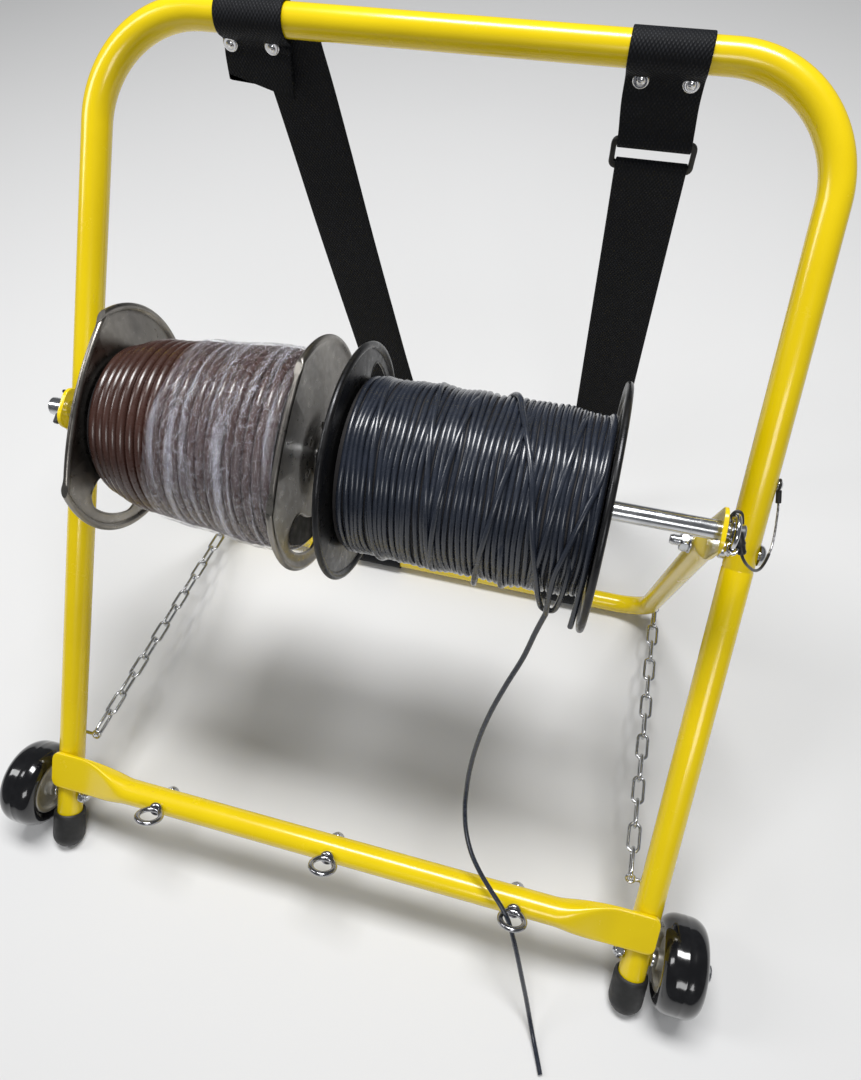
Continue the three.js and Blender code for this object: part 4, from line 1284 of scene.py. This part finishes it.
def half_turn(radius):
    return [(radius * math.cos(a), radius * math.sin(a)) for a in (math.pi * k / 10 for k in range(11))]


def tab(name):
    x = TAB_X[name]
    radius = TUBE_R + 0.3 + WEB_THICK / 2
    if name == "left":
        path = smooth(loop_path(x, BAR_Y, BAR_Z, radius, -90, TAB_TAIL), 1.5)
        low, high = BAR_Z - radius - TAB_TAIL, BAR_Z - radius
        for p in path:
            # the tail hangs a little to the left of the loop
            p.x -= TAB_SKEW * min(max((high - p.z) / (high - low), 0), 1) ** 0.5
        shape, run = ribbon(path, WEBBING, WEB_THICK, slant=lambda b: 0.22 * b)
    else:
        low = SLIDER_Z + SLIDER_HALF[1]
        points = loop_path(x, BAR_Y, BAR_Z, radius, -90, BAR_Z - radius - low - 8)
        turns = half_turn(SLIDER_TURN_R)
        around = [Vector((x + TAB_DRIFT, BAR_Y - u, low - v)) for u, v in turns]
        points[0].x += TAB_DRIFT * 0.7
        points[-1].x += TAB_DRIFT * 0.7
        path = smooth([*points, *around, points[0]], 1.2)
        shape, run = ribbon(path, WEBBING, WEB_THICK)
    piece(f"webbing_tab_{name}", shape, WEB, "frame", [f"strap_tab_{name}"], UPRIGHT,
          60, run)
    for letter, off in (("a", -RIVET_HALF), ("b", RIVET_HALF)):
        rivet(f"{name}_{letter}", RIVET_X[name] + off)


def rivet(name, x):
    """A tubular rivet: a domed cap with a rounded middle, and the same cap behind."""
    face = BAR_Y - LAYER - WEB_THICK / 2
    dome = [(0.01, 2.3), (1.2, 2.2), (2.1, 1.7), (2.6, 1.25), (3.3, 1.2), (4.3, 1.5), (5.1, 1.2),
            (5.5, 0.5), (5.4, 0), (0.01, 0)]
    front = lathed(dome, 40, (x, face, RIVET_Z), (0, -1, 0))
    rear = lathed(dome, 40, (x, 2 * BAR_Y - face, RIVET_Z), (0, 1, 0))
    piece(f"rivet_cap_{name}", merged(front, rear), CHROME, "frame", [f"strap_rivet_{name}"],
          UPRIGHT)


def slider():
    """Moulded slider: a round-cornered frame whose long bars are the thicker ones."""
    wide, high = SLIDER_HALF
    outline = rounded([(-wide, -high), (wide, -high), (wide, high), (-wide, high)], 3.4, 6)
    path = [Vector((STRAP_TOP_X["right"] + a, BAR_Y, SLIDER_Z + b)) for a, b in outline]
    path = evenly([*path, path[0]], 1.2)[:-1]

    def section(i):
        run = (path[(i + 1) % len(path)] - path[i - 1]).normalized()
        half = 1.9 + 0.8 * abs(run.x)
        return rounded([(-1.9, -half), (1.9, -half), (1.9, half), (-1.9, half)], 0.9, 3)

    shape = sweep(path, section, side=(0, 1, 0), closed=True)
    piece("strap_adjuster", shape, PLASTIC, "frame", ["strap_slider_right"], UPRIGHT)


STRAP_RUN = [(0, 60), (-1, 38), (-7, 20), (-18, 8), (-35, 3), (-62, 3)]


def strap(name):
    """Hangs from its tab nearly to the ground and comes forward to the rear leg's bar."""
    if name == "left":
        top = [(3.4, 486), (4.0, 474), (4.6, 450), (3.6, 400), (1.2, 330), (0, 200)]
    else:
        hook = SLIDER_Z - SLIDER_HALF[1]
        top = [(3.0, hook - 40), (3.4, hook - 16)]
        top += [(u, hook + v) for u, v in half_turn(SLIDER_TURN_R)]
        top += [(-3.2, hook - 12), (-0.8, hook - 40), (0, 300), (0, 200)]
    head, foot = Vector((STRAP_TOP_X[name], 484)), Vector((FOOT_X[name], 60))
    points = []
    for y, z in top + STRAP_RUN:
        share = min(max((head.y - z) / (head.y - foot.y), 0), 1)
        points.append(Vector((head.x + (foot.x - head.x) * share, BAR_Y + y, z)))
    points += [Vector((FOOT_X[name], REAR_Y + 50, 7.6)), Vector((FOOT_X[name], REAR_Y + 33, REAR_Z - 0.2))]
    path = smooth(points, 1.5)
    shape, run = ribbon(path, WEBBING - 0.6, WEB_THICK)
    made = piece(f"webbing_strap_{name}", shape, WEB, place=UPRIGHT, sharp=60, run=run)
    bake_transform(made)
    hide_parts(f"strap_{name}")
    radius = REAR_R + 0.3 + WEB_THICK / 2
    loop = smooth(loop_path(FOOT_X[name], REAR_Y, REAR_Z, radius, 0, FOOT_TAIL, gap=FOOT_GAP), 1.5)
    shape, run = ribbon(loop, WEBBING, WEB_THICK)
    piece(f"webbing_foot_{name}", shape, WEB, "rear_leg", [f"strap_foot_{name}"],
          UPRIGHT, 60, run)


# ---------- lanyard fittings ----------
def lanyard_fittings():
    start = Vector(LANYARD_ROUTE[0])
    heading = Vector(LANYARD_ROUTE[2]) - start
    sleeve = [(1.1, -7.5), (2.2, -7), (2.8, -5.4), (2.9, -1), (3.3, 0.4), (2.8, 1.6), (2.6, 4.4),
              (2.9, 6), (2.3, 7.4), (1.1, 7.6)]
    ferrule = lathed(rounded(sleeve, 0.5), 28, start, heading, closed=True)
    top = on_axle(LOCK_X, -LOCK_RING_R)
    loop = smooth([start + Vector((0.6, 0.4, 4)), on_axle(LOCK_X + 4.6, -3), on_axle(LOCK_X + 4.2, -9),
                   top + Vector((2.4, 0, 2.9)), top + Vector((-0.8, 0, 3.2)), top + Vector((-3.2, 0, -1)),
                   on_axle(LOCK_X - 3.0, -5)], 1.2)
    piece("lanyard_ferrule", merged(ferrule, tube(loop, 1.0, 12)), PLASTIC, "rear_leg", ())
    head = [(0.01, 3.4), (2, 3.2), (3.4, 2.2), (3.7, 0.4), (3.6, 0), (0.01, 0)]
    screw = lathed(head, 32, (LEG_X + TUBE_R + 0.2, 0, SCREW_AT), (1, 0, 0))
    piece("lanyard_screw_head", screw, ZINC, "frame", ["lanyard_screw"])
    end = Vector(LANYARD_ROUTE[-1])
    back = Vector(LANYARD_ROUTE[-3]) - end
    sleeve = rounded([(0.9, -2), (1.9, -1.5), (1.9, 7), (0.9, 7.5)], 0.4)
    crimp = lathed(sleeve, 24, end, back, closed=True)
    eye = torus((LEG_X + TUBE_R + 1.3, 0, SCREW_AT), (1, 0, 0), 3.9, 0.9, 32, 12)
    piece("lanyard_crimp", merged(crimp, eye), PLASTIC, "frame", ())


main_tube()
crossbar()
for guide, guide_x in GUIDE_X.items():
    wire_guide(guide, guide_x)
rear_leg()
axle()
lock()
spools()
for side_name, sign in SIDES:
    leg_tip(side_name, sign * LEG_X)
    wheel(side_name, sign)
    pivot(side_name, sign)
    chain(side_name, sign)
    tab(side_name)
    strap(side_name)
slider()
lanyard_fittings()


# ---------- stage and light ----------
def floor():
    half = 4.0
    mesh = bpy.data.meshes.new("floor")
    corners = [(-half, -half, 0), (half, -half, 0), (half, half, 0), (-half, half, 0)]
    mesh.from_pydata(corners, [], [(0, 1, 2, 3)])
    look = Look("pale_floor", (0.74, 0.74, 0.74), 0.9)
    look.set("Base Color", look.mix(look.noise(0.5, 3), (0.73, 0.73, 0.73), (0.75, 0.75, 0.75)))
    mesh.materials.append(look.material)
    obj = bpy.data.objects.new("floor", mesh)
    bpy.context.collection.objects.link(obj)


def softbox(name, place, aim, size, power):
    data = bpy.data.lights.new(name, "AREA")
    data.shape = "RECTANGLE"
    data.size, data.size_y = size
    data.energy = power
    light = bpy.data.objects.new(name, data)
    bpy.context.collection.objects.link(light)
    light.location = place
    light.rotation_euler = (Vector(aim) - Vector(place)).to_track_quat("-Z", "Y").to_euler()


# The lights' places and sizes in metres, and their power in watts.
LIGHTS = {
    "key": ((0.05, 0.5, 2.2), (1.3, 0.5), 46),
    "side": ((-1.5, -0.2, 1.5), (0.4, 1.0), 9),
    "front": ((0.5, -1.7, 1.4), (0.9, 0.5), 8),
}
LIGHTS_AIM = (0, 0, 0.25)
SKY_COLOR = (0.93, 0.96, 1.0, 1)
SKY_STRENGTH = 0.13


def studio():
    floor()
    for name, (place, size, power) in LIGHTS.items():
        softbox(name, place, LIGHTS_AIM, size, power)
    world = bpy.data.worlds.new("studio")
    world.use_nodes = True
    sky = world.node_tree.nodes["Background"].inputs
    sky["Color"].default_value = SKY_COLOR
    sky["Strength"].default_value = SKY_STRENGTH
    bpy.context.scene.world = world
    bpy.context.scene.view_settings.view_transform = "Standard"


studio()
